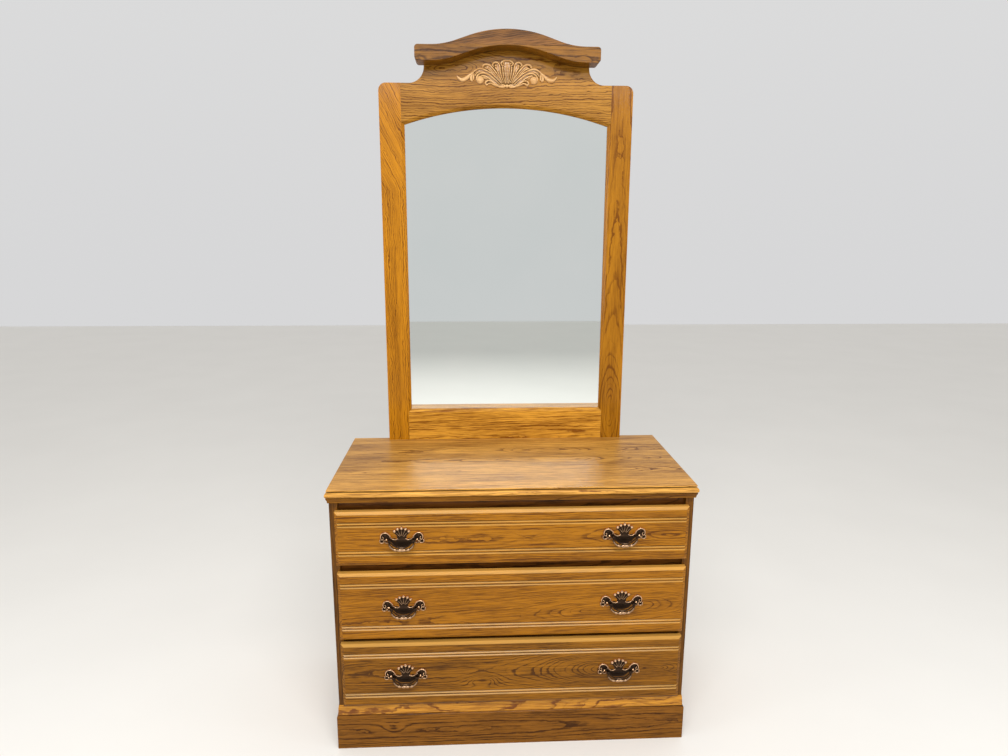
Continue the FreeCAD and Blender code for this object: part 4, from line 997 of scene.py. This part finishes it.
# Carved shell: right half in millimetres from the root, each stroke (across, up, radius)
SHELL = [
    # middle lobe, with a scroll at each side
    ([(0, 12, 6), (0, 40, 11), (0, 58, 14)], 1.6, 4.6),
    ([(0, 8, 1.4), (0, 30, 1.7), (0, 52, 2.2), (0, 60, 2.4)], 4.0, 7.4),
    ([(4, 8, 1.2), (5.4, 30, 1.6), (7, 50, 1.9)], 4.0, 6.8),
    ([(5.5, 8, 1.4), (10, 24, 1.8), (12.6, 42, 2.1), (13.6, 53, 2.2)], 3.4, 7.0),
    ([(0, 70.5, 2.7), (8, 70, 2.9), (14.6, 66.6, 3.0), (17.6, 61.6, 2.8), (15, 57, 2.3), (10.6, 57.4, 2.0)],
     3.2, 8.6),
    ([(10.2, 62.4, 3.0), (10.8, 62.6, 3.0)], 4.0, 8.0),
    # second lobe
    ([(14, 18, 5), (23, 40, 8), (30, 55, 9.5)], 1.6, 4.4),
    ([(10, 10, 1.4), (15.6, 23, 1.9), (20.4, 40, 2.3), (21.4, 53, 2.5), (25.6, 62, 2.8), (33, 65.4, 3.0),
      (40.6, 62.4, 2.9), (43, 57, 2.5), (39.6, 53.4, 2.0)], 3.2, 8.2),
    ([(14, 10, 1.3), (22, 28, 1.8), (29, 43, 2.2), (34.6, 51, 2.2)], 3.2, 6.8),
    ([(33, 56, 3.2), (34, 56.4, 3.2)], 3.8, 7.0),
    # third lobe
    ([(20, 16, 5), (38, 36, 8), (54, 51, 8.5)], 1.6, 4.4),
    ([(13, 9, 1.4), (24, 25.4, 2.0), (36, 41.6, 2.4), (46.4, 52.8, 2.7), (55, 58.4, 2.9), (63.4, 59.6, 3.0),
      (70.6, 55.6, 2.8), (71.6, 50.4, 2.2)], 3.2, 8.0),
    ([(17, 9, 1.3), (32, 23, 1.8), (44.6, 36.4, 2.2), (55, 46, 2.3), (65, 49.2, 2.2)], 3.2, 6.8),
    ([(15, 9, 1.1), (29, 25, 1.5), (42, 40, 1.8), (53, 50, 1.8)], 3.4, 6.0),
    # outer lobe
    ([(28, 14, 5), (52, 32, 7.5), (76, 41, 6.5), (90, 37, 4.5)], 1.6, 4.0),
    ([(17, 7, 1.4), (30, 20.4, 1.9), (49.6, 36, 2.3), (65, 43.8, 2.6), (79.5, 47.4, 2.8), (91, 43.8, 2.7),
      (99.4, 37.4, 2.2)], 3.0, 7.6),
    ([(22, 7, 1.3), (39, 18.8, 1.7), (54.7, 30.6, 2.1), (69.2, 37.3, 2.3), (81.6, 38.6, 2.3), (89, 34.8, 2.1),
      (94.6, 28, 1.9)], 3.0, 7.0),
    # scroll with its ball
    ([(30, 9, 5), (52, 22, 6), (72, 28, 6)], 1.6, 3.8),
    ([(20, 4, 1.4), (34, 15.8, 1.8), (48.5, 27.9, 2.2), (61, 33.6, 2.4), (72.3, 35.4, 2.6), (82.6, 32.4, 2.8),
      (88.4, 25.4, 3.0), (89, 17, 2.6)], 2.8, 7.6),
    ([(25, 3, 1.3), (39.3, 10.6, 1.7), (52.7, 20.4, 2.1), (65, 27, 2.3), (75, 29, 2.4)], 2.8, 6.6),
    ([(79.6, 17.6, 11), (79.8, 16.8, 11)], 1.8, 9.2),
    # lower leaf
    ([(10, 1.5, 5), (28, 3, 5.5), (44, 9, 5)], 1.6, 4.4),
    ([(9, -2.6, 2.6), (22, -1.4, 2.6), (36.2, 5.6, 2.5), (45.5, 12.4, 2.4), (54.7, 15, 2.5), (62, 11.6, 2.5),
      (63, 6, 2.2), (59.6, 2.2, 2.0)], 2.6, 7.0),
    ([(26, -0.6, 1.6), (38, 3.2, 1.9), (47, 7.6, 2.0), (54, 6.4, 2.0), (59, 3.4, 1.8)], 2.6, 6.4),
    # bud and wing
    ([(103, 33, 4.6), (106, 26, 4.8), (106, 19, 4.2), (104, 15, 3.2)], 2.0, 7.0),
    ([(98.6, 31, 2.4), (99.6, 24, 3.0), (100, 18.6, 2.6)], 2.0, 5.8),
    ([(101, 35, 2.8), (106, 31.6, 3.6), (112, 27, 4.6), (120, 20.6, 5.6), (130, 16.2, 5.8), (138, 17.6, 4.4),
      (143.6, 21.6, 2.8), (147, 26, 1.4)], 2.0, 8.0),
    # root
    ([(0, 0.4, 4.6), (0.4, 0.4, 4.6)], 3.0, 8.4),
    ([(6.4, 0.6, 3.6), (6.8, 0.6, 3.6)], 3.0, 7.4),
]


# how far up the carving's CAD solid the root lies, as a share of its height
SHELL_ROOT = 9.5 / 77


def carving():
    """The carved shell, lying on the head's face over its CAD solid."""
    low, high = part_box("shell_carving")
    root_up = low.z + (high.z - low.z) * SHELL_ROOT
    mesh = relief_mesh("carved_shell", SHELL, 0.8, 20.0)
    material, web, shader = new_material("carved_wood")
    place = board_place(web, "XZY", (0, 0, 0))
    colour, height = oak_sample(web, place, {"Light": shade(212, 170, 114), "Dark": shade(166, 116, 62),
                                             "Contrast": 0.25, "Seed": 77.0, "Ring": 3.0})
    wear_and_highlight = web.node("Attribute", attribute_name="wear_and_highlight").outputs["Fac"]
    glaze = web.span(wear_and_highlight, -0.5, 0.35, 0.0, 1.0)
    colour = web.mix(glaze, web.mix(0.6, colour, shade(112, 66, 30)), colour)
    # painted shade: the lacquer darkens the carving's deep hollows
    lacquer(web, shader, colour, height, roughness=0.4, shade_reach=0.006, coat=0.4)
    show("carved_shell", mesh, "case", Vector((0, high.y, root_up)), material, "carving", "shell_carving")


# Studio, in metres and degrees
PHOTO_WIDTH = 1008
FOCAL_PIXELS = 682.7
SENSOR_WIDTH = 36.0
CAMERA_PLACE = (-0.1132, -1.94335, 1.4512)
CAMERA_YAW = -2.85
CAMERA_PITCH = -11.99
CAMERA_ROLL = -0.2
FLOOR_REACH = 9.0
BACKDROP_STRENGTH = 0.78
# name, place, aim, size, power in watts
LAMPS = (
    ("ceiling", (0.0, -2.2, 3.2), (0.0, -0.2, 0.7), (2.6, 0.4), 70),
    ("front", (0.0, -4.6, 3.05), (0.0, 0.0, 0.9), (3.6, 0.55), 74),
    ("left", (-3.4, -1.6, 1.5), (0.0, 0.0, 0.9), (0.6, 1.6), 16),
    ("right", (3.4, -1.6, 1.5), (0.0, 0.0, 0.9), (0.6, 1.6), 10),
)


def photo_camera():
    """The camera at the photograph's place and angle."""
    camera = bpy.data.objects.new("camera", bpy.data.cameras.new("camera"))
    bpy.context.collection.objects.link(camera)
    camera.data.sensor_width = SENSOR_WIDTH
    camera.data.lens = FOCAL_PIXELS * SENSOR_WIDTH / PHOTO_WIDTH
    camera.location = CAMERA_PLACE
    turn = Matrix.Identity(3)
    for angle, axis in ((CAMERA_YAW, "Z"), (CAMERA_PITCH, "X"), (CAMERA_ROLL, "Y"), (90, "X")):
        turn = turn @ Matrix.Rotation(math.radians(angle), 3, axis)
    camera.rotation_euler = turn.to_euler()
    bpy.context.scene.camera = camera


def pale_floor():
    mesh = bpy.data.meshes.new("floor")
    corners = [(x * FLOOR_REACH, y * FLOOR_REACH, 0) for x, y in ((-1, -1), (1, -1), (1, 1), (-1, 1))]
    mesh.from_pydata(corners, [], [(0, 1, 2, 3)])
    floor = bpy.data.objects.new("floor", mesh)
    bpy.context.collection.objects.link(floor)
    material, web, shader = new_material("floor")
    place = board_place(web, "XYZ", (0, 0, 0))
    cloud = web.noise(place, 0.002, 3.0)
    web.feed(shader.inputs["Base Color"], web.mix(cloud[0], shade(230, 227, 221), shade(236, 233, 227)))
    shader.inputs["Roughness"].default_value = 0.6
    mesh.materials.append(material)


def studio():
    photo_camera()
    pale_floor()
    for name, place, aim, size, power in LAMPS:
        lamp(name, place, aim, size, power)
    world = bpy.data.worlds.new("studio")
    bpy.context.scene.world = world
    world.use_nodes = True
    web = Web(world.node_tree)
    backdrop = world.node_tree.nodes["Background"]
    up = web.split(web.node("TexCoord").outputs["Generated"])[2]
    tint = web.mix(web.span(up, -0.1, 0.5), shade(240, 240, 241), shade(246, 246, 246))
    web.feed(backdrop.inputs["Color"], tint)
    backdrop.inputs["Strength"].default_value = BACKDROP_STRENGTH
    bpy.context.scene.view_settings.view_transform = "Standard"


def lamp(name, place, aim, size, power):
    data = bpy.data.lights.new(name, "AREA")
    data.shape = "RECTANGLE"
    data.size, data.size_y = size
    data.energy = power
    thing = bpy.data.objects.new(name, data)
    bpy.context.collection.objects.link(thing)
    thing.location = place
    thing.rotation_euler = (Vector(aim) - Vector(place)).to_track_quat("-Z", "Y").to_euler()


def main():
    steel = zinc()
    top_finish()
    side_finish()
    rail_finish()
    plinth_finish()
    drawer_finish()
    frame_finish()
    paint("mirror_crest", crest_oak())
    soften("mirror_crest", FRAME_EDGE)
    paint("mirror_glass", silvered_glass())
    back_finish()
    pulls(steel)
    carving()
    paint("mirror_screws", steel)
    studio()


main()
